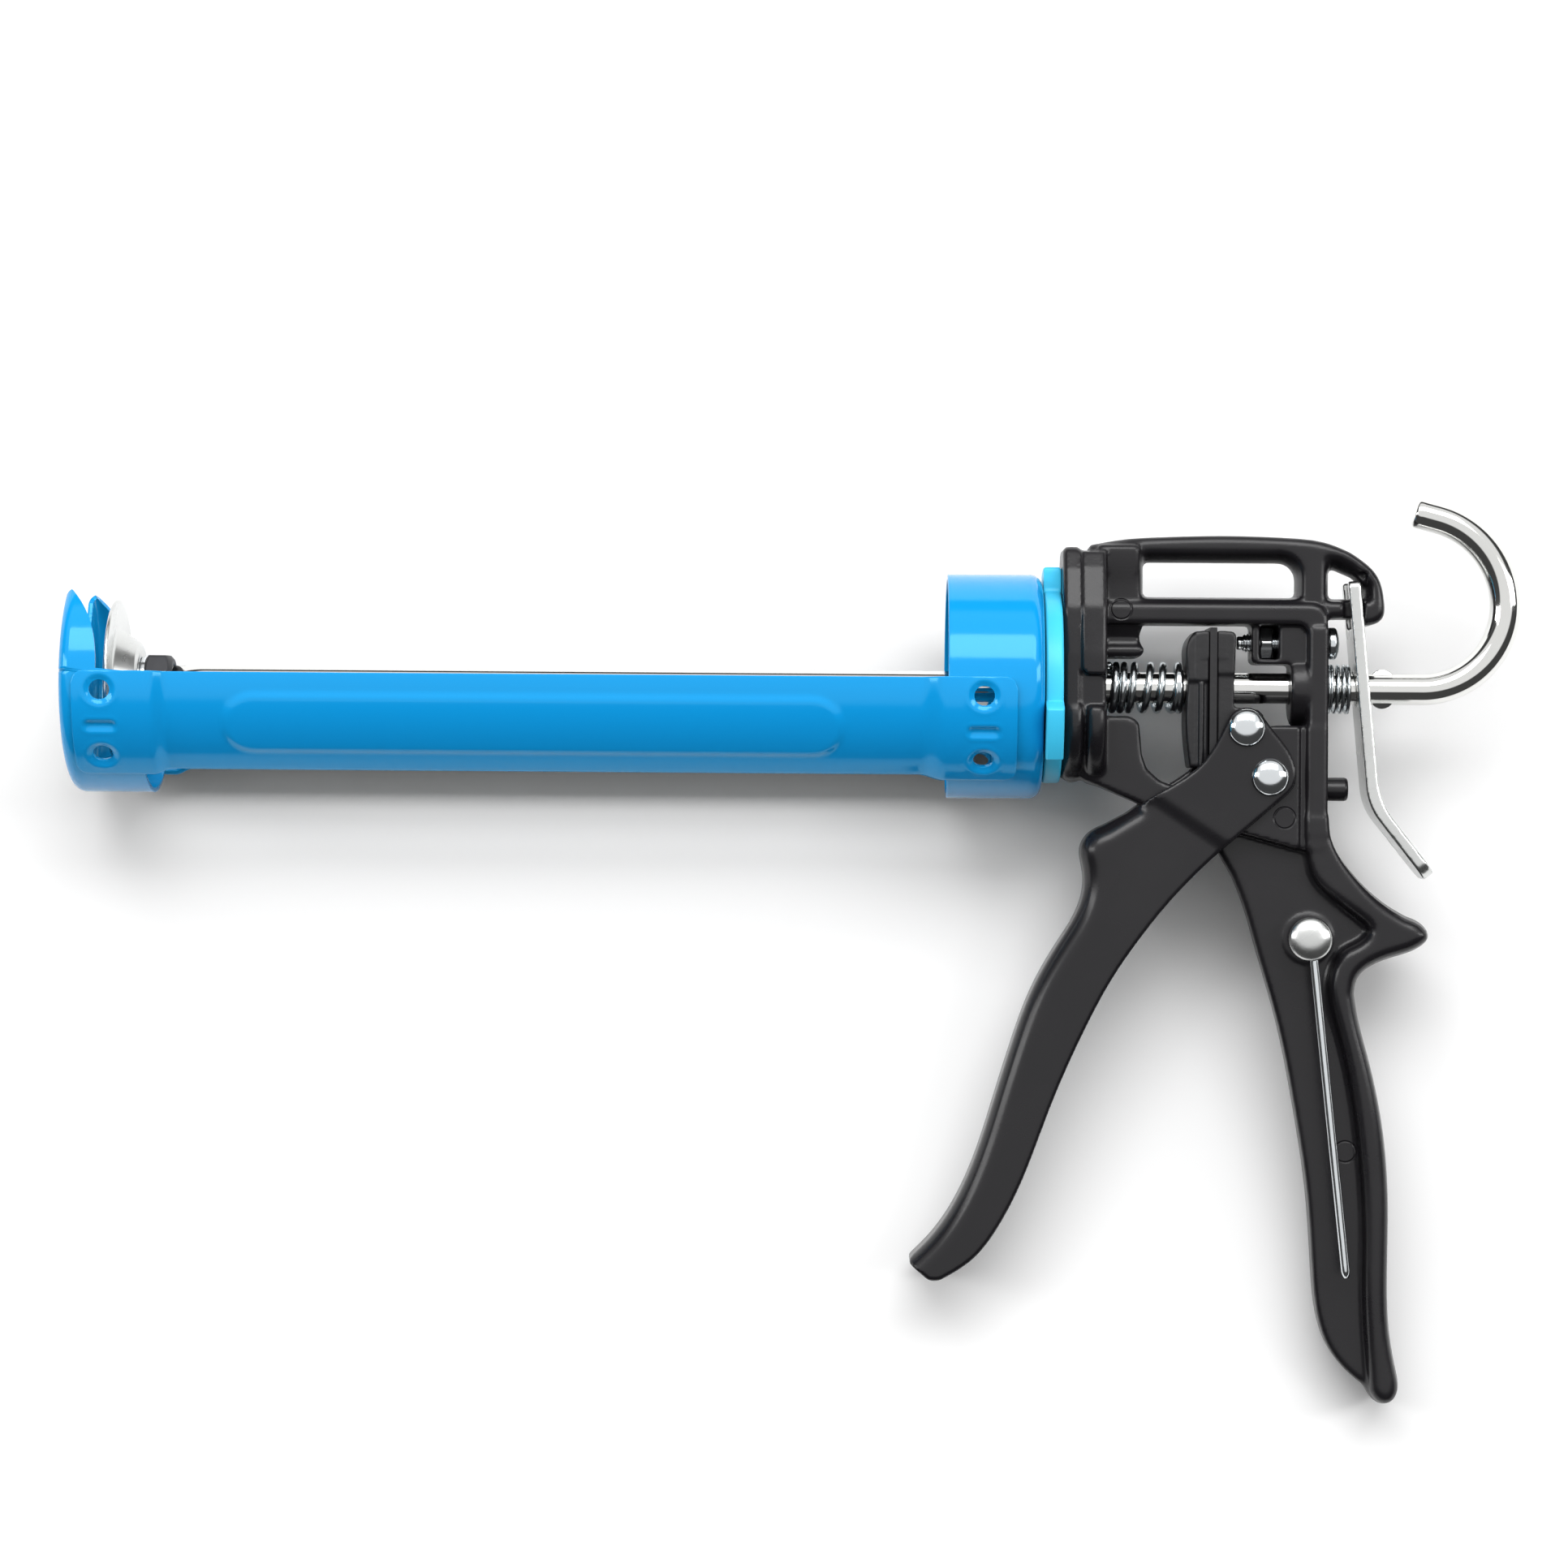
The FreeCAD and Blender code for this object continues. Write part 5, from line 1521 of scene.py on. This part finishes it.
# ------------------------------------------------------------------ rivets, nuts and screws
@dataclass
class Fasteners:
    """Rivets, the adjusting screw with its nut, the lever's stop peg and the pin's rivet."""

    shaft: float = 2.5
    head: float = 4.85
    head_height: float = 2.7
    wall_back: float = 323.5
    screw_y: float = SCREW_Y

    def build(self) -> None:
        """Makes and dresses every small turned piece."""
        self.rivet("pivot_rivet_turned", PIVOT_AT, 11.6, -11.6, "frame", "trigger_pivot_rivet")
        self.rivet("driver_rivet_turned", DRIVER_RIVET_AT, 11.5, -11.5, "trigger", "driver_rivet")
        pin = self.dome(12.0, -4.5, 2.0, 5.65, self.head_height)
        piece = turned("piercing_rivet_turned", pin, 56, PIN_EYE_AT, along="Z")
        fit(piece, "frame", Slot.ZINC_PLATE, "piercing_pin_rivet")
        self.screw()
        nut = hex_nut("adjusting_nut_turned", 306.4, 309.6, 8.0, 2.45, self.screw_y)
        fit(nut, "frame", Slot.ZINC_FASTENER, "adjusting_nut")
        ring = [(318.8, 0.0), (318.8, 3.0), (328.6, 3.05), (329.2, 2.85), (329.45, 2.45), (329.5, 0.0)]
        peg = turned("stop_peg_turned", rounded(ring, 0.12, closed=False), 40, (PEG_Y, 0))
        fit(peg, "frame", Slot.BLACK_CASTING, "lever_stop_peg")

    @staticmethod
    def dome(near: float, far: float, shaft: float, head: float, rise: float) -> Array:
        """A rivet's profile (height, radius): a low dome outside each face, a shaft between.

        Each dome is r = head cos b, h = rise sin b, flattened a little at its crown, over a
        short upright edge.
        """
        b = np.linspace(0, math.pi / 2, 12)
        r = head * np.cos(b)
        h = 0.25 + (rise - 0.25) * np.sin(b) ** 0.9
        upper = np.stack([near + h, r], axis=1)[::-1]
        lower = np.stack([far - h, r], axis=1)
        between = [(near, head * 0.985), (near, shaft), (far, shaft), (far, head * 0.985)]
        profile = np.concatenate([upper, np.array(between), lower])
        profile[0, 1] = profile[-1, 1] = 0.0
        return profile

    def rivet(
        self, name: str, at: tuple[float, float], near: float, far: float, body: str, node: str
    ) -> None:
        """Makes one domed rivet through the mechanism."""
        profile = self.dome(near, far, self.shaft, self.head, self.head_height)
        fit(turned(name, profile, 56, at, along="Z"), body, Slot.ZINC_FASTENER, node)

    def screw(self) -> None:
        """The adjusting screw: a blunt tip, a threaded shank and a cross-recessed pan head."""
        thread = threaded("adjusting_screw_thread", 302.2, 321.0, 2.48, 0.42, 0.8, self.screw_y)
        tip = [(300.6, 0.0), (300.6, 1.5), (300.95, 1.75), (302.3, 1.75), (302.6, 0.0)]
        point = turned("adjusting_screw_tip", np.array(tip), 32, (self.screw_y, 0))
        box = SampleBox((320.4, self.screw_y - 4.7, -4.7), (327.5, self.screw_y + 4.7, 4.7), 0.16)
        radius = np.hypot(box.y - self.screw_y, box.z)
        end = self.wall_back + 3.6
        head = plate(radius - 4.2, box.x, self.wall_back + 0.02, end + 1.3, 1.3)
        crown = np.sqrt((box.x - end + 9.6) ** 2 + radius ** 2) - 9.6
        head = -fuse(-head, -crown, 0.5)
        shank = plate(radius - 2.5, box.x, 320.5, self.wall_back + 1.0, 0.1)
        head = fuse(head, shank, 0.2)
        u, v = (box.y - self.screw_y + box.z) * 0.7071, (box.y - self.screw_y - box.z) * 0.7071
        depth = end - 2.1
        taper = 0.42 + 0.12 * (box.x - depth)
        reach = 2.0 + 0.25 * (box.x - depth)
        for a, b in ((u, v), (v, u)):
            arm = np.maximum(np.maximum(np.abs(a) - taper, np.abs(b) - reach), depth - box.x)
            head = cut(head, arm, 0.12)
        piece = join("adjusting_screw_turned", [box.mesh("adjusting_screw_head", head), thread, point])
        fit(piece, "frame", Slot.ZINC_FASTENER, "adjusting_screw")


def threaded(
    name: str, x0: float, x1: float, radius: float, depth: float, pitch: float, y: float = 0.0
) -> bpy.types.Object:
    """A threaded bar along X: r = radius - depth * w, where w is a triangle wave of
    x / pitch - a / turn with its crests cut flat, fading to a plain end over one pitch.

    Args:
        name: the piece's name.
        x0: its front end.
        x1: its rear end.
        radius: over the crests.
        depth: of the groove.
        pitch: from crest to crest.
        y: height of its axis.

    Returns:
        The new object.
    """
    segments = 48
    a = np.linspace(0, 2 * math.pi, segments, endpoint=False)[None, :]
    x = np.linspace(x0, x1, int((x1 - x0) / pitch * 8))[:, None]
    phase = (x / pitch - a / (2 * math.pi)) % 1.0
    groove = np.clip(1.25 * (1 - np.abs(2 * phase - 1)) - 0.12, 0, 1)
    taper = np.maximum(0, 1 - (x - x0) / pitch)
    r = radius - depth * np.clip(groove + 0.9 * taper, 0, 1)
    points = np.stack([x + 0 * a, r * np.sin(a) + y, r * np.cos(a)], axis=-1).reshape(-1, 3)
    quads = grid_quads(x.shape[0], segments, wrap_columns=True)
    points = np.concatenate([points, [(x0, y, 0.0), (x1, y, 0.0)]])
    piece = mesh_object(name, points, quads, end_fans(x.shape[0], segments))
    face_outward(piece)
    return piece


def hex_nut(
    name: str, x0: float, x1: float, across: float, bore: float, y: float = 0.0, rear_cone: float = 0.0
) -> bpy.types.Object:
    """A hexagon nut along X: the radius at angle a is the hexagon's, with eased corners,
    and no more than the cone that chamfers each face.

    Args:
        name: the piece's name.
        x0: front face.
        x1: rear face.
        across: width across flats.
        bore: radius of the hole.
        y: height of its axis.
        rear_cone: extra chamfer on the rear face.

    Returns:
        The new object.
    """
    a = np.linspace(0, 2 * math.pi, 144, endpoint=False)[None, :]
    within = np.degrees(a) % 60 - 30
    hexagon = across / 2 / np.cos(np.radians(within))
    hexagon = np.minimum(hexagon, across / math.sqrt(3) - 0.12)
    height = x1 - x0
    cone, rim, sides = np.linspace(0.0, 0.3, 7), np.linspace(0.7, 1.0, 7), np.linspace(0.34, 0.66, 3)
    share = np.concatenate([[0.0], cone, sides, rim, [1.0]])
    x = x0 + share[:, None] * height
    front = across / 2 * 0.955 + (x - x0) * 1.73
    rear = across / 2 * 0.955 - rear_cone + (x1 - x) * (1.73 if rear_cone <= 0 else 1.1)
    r = np.minimum(np.minimum(hexagon, front), rear)
    r[0], r[-1] = bore, bore
    inner_x = np.array([[x1 - 0.3], [x0 + 0.3]])
    x = np.concatenate([x, inner_x]) + 0 * a
    r = np.concatenate([r, np.full((2, a.shape[1]), bore - 0.02)])
    r[0], r[len(share) - 1] = bore + 0.35, bore + 0.35
    points = np.stack([x, r * np.sin(a) + y, r * np.cos(a)], axis=-1).reshape(-1, 3)
    piece = mesh_object(name, points, grid_quads(len(r), a.shape[1], True, True))
    face_outward(piece)
    soften(piece, 0.12, 2, 22.0)
    return piece


# ------------------------------------------------------------------ springs
@dataclass
class Springs:
    """The main spring on the rod and the light release spring behind the rear wall."""

    main_coil: float = 5.775
    main_wire: float = 0.96
    light_coil: float = 6.05
    light_wire: float = 0.45

    def build(self) -> None:
        """Winds both springs."""
        hub_face, end = LAY.span("main_spring")
        first, last = hub_face + self.main_wire, end - self.main_wire
        turns = [(-0.55, first), (0.0, 268.55), (1.0, 270.6), (2.0, 272.8), (3.0, 276.5)]
        turns += [(4.0, 280.2), (5.0, 283.9), (5.6, last - 0.15), (6.4, last)]
        main = self.wind("main_spring_coil", turns, self.main_coil, self.main_wire, -90.0)
        fit(main, "frame", Slot.SPRING_WIRE, "main_spring")
        anchor = tuple(LAY.place(np.array([(hub_face, 0, 0)]))[0])
        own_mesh(main)
        wall, end = LAY.span("release_spring")
        first, last = wall + self.light_wire, end - self.light_wire
        turns = [(-0.5, first), (0.3, first + 0.25), (1.0, 325.1), (2.0, 326.7), (3.0, 328.2)]
        turns += [(3.7, last - 0.2), (4.5, last)]
        light = self.wind("release_spring_coil", turns, self.light_coil, self.light_wire, 90.0)
        fit(light, "frame", Slot.SPRING_WIRE, "release_spring")
        anchor = tuple(LAY.place(np.array([(wall, 0, 0)]))[0])
        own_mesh(light)

    @staticmethod
    def wind(name: str, turns: Points, coil: float, wire: float, start: float) -> bpy.types.Object:
        """A helix round the rod: angle = start + 360 u, x follows a smooth line through turns.

        Args:
            name: the piece's name.
            turns: (turn number, x) pairs.
            coil: radius to the middle of the wire.
            wire: radius of the wire.
            start: the angle at turn 0, in degrees.

        Returns:
            The new object.
        """
        line = spline(turns, 0.05)
        u = np.arange(turns[0][0], turns[-1][0], 1 / 40)
        x = np.clip(np.interp(u, line[:, 0], line[:, 1]), turns[0][1], turns[-1][1])
        a = np.radians(start + 360 * u)
        path = np.stack([x, coil * np.sin(a), coil * np.cos(a)], axis=1)
        return swept(name, path, wire, 14)


# ------------------------------------------------------------------ rod and plunger
@dataclass
class RodAndPlunger:
    """The push rod with its crimp and hanging hook, and the dished plunger at its front."""

    radius: float = 4.0
    front: float = 10.3
    hook_x: float = 348.3
    lower_radius: float = 21.5
    upper_radius: float = 23.5
    upper_turn: float = 75.0
    tail: float = 6.5
    ear_x: float = 335.4
    ear_length: float = 5.4
    ear_height: float = 5.1
    disc_radius: float = 20.8
    disc_x: float = 11.3
    sheet: float = 1.0
    dome: tuple[float, float] = (13.5, 8.7)
    dome_x: float = 17.2

    def build(self) -> None:
        """Makes the rod, its crimp, the disc, the washer and both nuts."""
        fit(self.rod(), "rod", Slot.BRIGHT_ROD, "push_rod")
        fit(self.disc(), "plunger", Slot.ZINC_PLATE, "plunger_disc")
        start, stop = LAY.span("plunger_washer")
        ring = rounded([(start, 4.15), (start, 6.2), (stop, 6.2), (stop, 4.15)], 0.15)
        fit(turned("plunger_washer_turned", ring, 64), "plunger", Slot.ZINC_FASTENER, "plunger_washer")
        start, stop = LAY.span("plunger_nut")
        nut = hex_nut("plunger_nut_turned", start, stop, 13.0, 3.97, rear_cone=0.7)
        fit(nut, "rod", Slot.BLACK_OXIDE, "plunger_nut")
        start, stop = LAY.span("plunger_front_nut")
        nut = hex_nut("front_nut_turned", start, stop, 13.0, 3.97)
        fit(nut, "rod", Slot.ZINC_FASTENER, "plunger_front_nut")

    def rod(self) -> bpy.types.Object:
        """The rod's sweep, with a threaded front end and the crimped ears as added pieces."""
        end_thread = LAY.span("plunger_nut")[1]
        straight = np.linspace(end_thread, self.hook_x, 40)
        line = np.stack([straight, 0 * straight, 0 * straight], axis=1)
        b = np.radians(np.linspace(0, 90, 40))[1:]
        low_x = self.hook_x + self.lower_radius * np.sin(b)
        low_y = self.lower_radius * (1 - np.cos(b))
        b = np.radians(np.linspace(0, self.upper_turn, 40))[1:]
        side = self.hook_x + self.lower_radius
        high_x = side - self.upper_radius * (1 - np.cos(b))
        high_y = self.lower_radius + self.upper_radius * np.sin(b)
        a = math.radians(self.upper_turn)
        reach = np.array([2.2, 4.4, self.tail - 0.8, self.tail])
        tail_x = high_x[-1] - math.sin(a) * reach
        tail_y = high_y[-1] + math.cos(a) * reach
        bend_x = np.concatenate([low_x, high_x, tail_x])
        bend_y = np.concatenate([low_y, high_y, tail_y])
        path = np.concatenate([line, np.stack([bend_x, bend_y, 0 * bend_x], axis=1)])
        size = np.full(len(path), self.radius)
        size[-1] = self.radius - 0.75
        bar = swept("push_rod_bar", path, size, 40)
        thread = threaded("push_rod_thread", self.front, end_thread + 0.02, 3.96, 0.62, 1.25)
        return join("push_rod_drawn", [bar, thread, self.ears()])

    def ears(self) -> bpy.types.Object:
        """The crimp: an almond seen from the side, thick at the rod and thin at its tips.

        The almond's edge is two arcs through its ends and its highest point. Its half
        thickness falls from the rod's side to the flattened tip as a cosine of |y|.
        """
        middle, half = self.ear_x + self.ear_length / 2, self.ear_length / 2
        box = SampleBox((middle - half - 1.5, -6.0, -3.8), (middle + half + 1.5, 6.0, 3.8), 0.18)
        sag = self.ear_height
        radius = (half ** 2 + sag ** 2) / (2 * sag)
        offset = sag - radius
        upper = np.hypot(box.x - middle, box.y - offset) - radius
        lower = np.hypot(box.x - middle, box.y + offset) - radius
        face = np.where(box.y >= 0, upper, lower)
        thick = 1.05 + 1.3 * np.cos(np.clip(np.abs(box.y) / self.ear_height, 0, 1) * math.pi / 2)
        solid = np.maximum(face, (np.abs(box.z) - thick) * 0.9)
        return box.mesh("push_rod_ears", solid)

    def disc(self) -> bpy.types.Object:
        """The pressed plunger disc: a flat rim, a conical shoulder and a small flat top."""
        x, base, top, t = self.disc_x, self.dome[0], self.dome[1], self.sheet
        upper = [(x, self.disc_radius), (x, base), (x + 3.2, base - 2.2), (self.dome_x - 0.7, top + 1.2)]
        upper += [(self.dome_x, top), (self.dome_x, 4.15)]
        lower = [(self.dome_x - t, 4.15), (self.dome_x - t, top - 0.6), (self.dome_x - 0.7 - t, top + 0.6)]
        lower += [(x + 3.2 - t, base - 2.8), (x - t, base - 0.6), (x - t, self.disc_radius)]
        radii = [0.35, 1.6, 2.0, 0.8, 1.0, 0.2, 0.2, 0.8, 0.8, 2.0, 1.0, 0.35]
        return turned("plunger_disc_pressing", rounded(upper + lower, radii, steps=6), 128)


# ------------------------------------------------------------------ piercing pin
@dataclass
class PiercingPin:
    """The swing-out piercing wire: an eye round its rivet, a neck and a long straight pin."""

    eye: tuple[float, float] = PIN_EYE_AT
    kink: tuple[float, float] = (320.2, -70.6)
    end: tuple[float, float] = (328.9, -150.9)
    loop: float = 3.3
    wire: float = 1.15
    height: float = 10.75

    def build(self) -> None:
        """Bends the wire: three quarters of a circle, a short neck and the pin."""
        heading = math.atan2(self.kink[1] - self.eye[1], self.kink[0] - self.eye[0])
        b = heading - np.radians(np.linspace(348, 12, 60))
        circle = np.stack([self.eye[0] + self.loop * np.cos(b), self.eye[1] + self.loop * np.sin(b)], axis=1)
        run = spline([tuple(circle[-1]), (self.kink[0] - 0.15, self.kink[1] + 1.2), self.kink], 0.5)[1:]
        share = np.linspace(0, 1, 48)[1:, None]
        straight = np.array(self.kink) * (1 - share) + np.array(self.end) * share
        flat = np.concatenate([circle, run, straight])
        path = np.concatenate([flat, np.full((len(flat), 1), self.height)], axis=1)
        size = np.full(len(path), self.wire)
        size[-1] = self.wire - 0.3
        size[0] = self.wire - 0.3
        fit(swept("piercing_pin_wire", path, size, 16), "piercing_pin", Slot.ZINC_FASTENER, "piercing_pin")


# ------------------------------------------------------------------ studio
@dataclass
class Studio:
    """A pale floor, soft light from above and a camera that looks straight down."""

    camera_at: tuple[float, float, float] = (202.8, -27.9, 1124.4)
    tilt: tuple[float, float, float] = (0.00217, 0.0158, 0.0096)
    lens: float = 99.7
    floor_grey: float = 0.93
    key_power: float = 19.0
    side_power: float = 7.0
    ceiling_light: float = 0.9
    ceiling_lean: float = 0.45
    ceiling_edge: float = 0.62
    ceiling_fade: float = 0.12
    wall_light: float = 0.06

    def build(self) -> None:
        """Sets the floor, the lights, the world and the camera."""
        scene = bpy.context.scene
        scene.view_settings.view_transform = "Standard"
        scene.view_settings.look = "None"
        self.floor()
        self.lights()
        self.world(scene)
        self.camera(scene)

    def floor(self) -> None:
        """A wide pale sheet under the gun."""
        half = 6.0
        points = np.array([(-half, -half, 0.0), (half, -half, 0.0), (half, half, 0.0), (-half, half, 0.0)])
        mesh = bpy.data.meshes.new("studio_floor")
        mesh.from_pydata([tuple(p) for p in points], [], [(0, 1, 2, 3)])
        floor = bpy.data.objects.new("studio_floor", mesh)
        bpy.context.scene.collection.objects.link(floor)
        made = bpy.data.materials.new("pale_floor")
        made.use_nodes = True
        shader = made.node_tree.nodes["Principled BSDF"]
        shader.inputs["Base Color"].default_value = (self.floor_grey, self.floor_grey, self.floor_grey, 1)
        shader.inputs["Roughness"].default_value = 0.8
        shader.inputs["Specular IOR Level"].default_value = 0.1
        floor.data.materials.append(made)

    def lights(self) -> None:
        """Softboxes above the handle's side, which cast the shadow, and at both ends."""
        self.softbox("key_softbox", (0.05, 0.95, 1.35), (0.0, 0.0, 0.0), (1.7, 0.7), self.key_power)
        self.softbox("left_softbox", (-1.35, 0.25, 0.95), (0.0, 0.0, 0.0), (0.35, 1.1), self.side_power)
        self.softbox("right_softbox", (1.35, 0.25, 0.95), (0.0, 0.0, 0.0), (0.35, 1.1), self.side_power)

    @staticmethod
    def softbox(
        name: str,
        at: tuple[float, float, float],
        to: tuple[float, float, float],
        size: tuple[float, float],
        power: float,
    ) -> None:
        """An oblong area light that faces a point."""
        light = bpy.data.lights.new(name, "AREA")
        light.shape = "RECTANGLE"
        light.size, light.size_y = size
        light.energy = power
        lamp = bpy.data.objects.new(name, light)
        away = np.array(at, float) - np.array(to, float)
        flat = math.hypot(away[0], away[1])
        lamp.location = at
        heading = math.atan2(away[0], -away[1])
        lamp.rotation_euler = (math.atan2(flat, away[2]), 0.0, heading)
        bpy.context.scene.collection.objects.link(lamp)

    def world(self, scene: bpy.types.Scene) -> None:
        """A bright ceiling that reaches lower behind the handle, over dark studio walls.

        The ceiling's mask is a smooth step of z + lean * y of the direction. What the
        camera itself sees past the floor is plain pale grey.
        """
        world = bpy.data.worlds.new("studio")
        world.use_nodes = True
        tree = world.node_tree
        back = tree.nodes["Background"]
        back.inputs["Color"].default_value = (1, 1, 1, 1)
        place = tree.nodes.new("ShaderNodeTexCoord").outputs["Generated"]
        split = tree.nodes.new("ShaderNodeSeparateXYZ")
        tree.links.new(place, split.inputs[0])
        lean = math_node(tree, "MULTIPLY", split.outputs["Y"], self.ceiling_lean)
        height = math_node(tree, "ADD", split.outputs["Z"], lean)
        step = range_node(tree, height, self.ceiling_edge, self.ceiling_edge + self.ceiling_fade)
        step.interpolation_type = "SMOOTHSTEP"
        step.inputs["To Min"].default_value = self.wall_light
        step.inputs["To Max"].default_value = self.ceiling_light
        seen = tree.nodes.new("ShaderNodeLightPath").outputs["Is Camera Ray"]
        pale = tree.nodes.new("ShaderNodeMix")
        pale.inputs[3].default_value = 0.9
        tree.links.new(seen, pale.inputs[0])
        tree.links.new(step.outputs["Result"], pale.inputs[2])
        tree.links.new(pale.outputs[0], back.inputs["Strength"])
        scene.world = world

    def camera(self, scene: bpy.types.Scene) -> None:
        """The main camera, high above the gun and almost upright."""
        data = bpy.data.cameras.new("main_camera")
        data.lens = self.lens
        data.sensor_width = 36.0
        data.clip_end = 50.0
        camera = bpy.data.objects.new("main_camera", data)
        rx, ry, rz = self.tilt
        camera.location = tuple(LAY.place(np.array([self.camera_at]))[0])
        camera.rotation_euler = (rx + LAY.roll, ry, rz)
        scene.collection.objects.link(camera)
        scene.camera = camera


def main() -> None:
    """Builds every sub-assembly in order, then the studio."""
    logging.basicConfig(level=logging.INFO, format="%(name)s %(message)s")
    for part in (Carriage(), Swivel(), Casting(), Trigger(), Driver(), ReleaseLever(), Fasteners(),
                 Springs(), RodAndPlunger(), PiercingPin(), Studio()):
        part.build()
        log.info("%s done", type(part).__name__)
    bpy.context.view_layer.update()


if __name__ == "__main__":
    main()
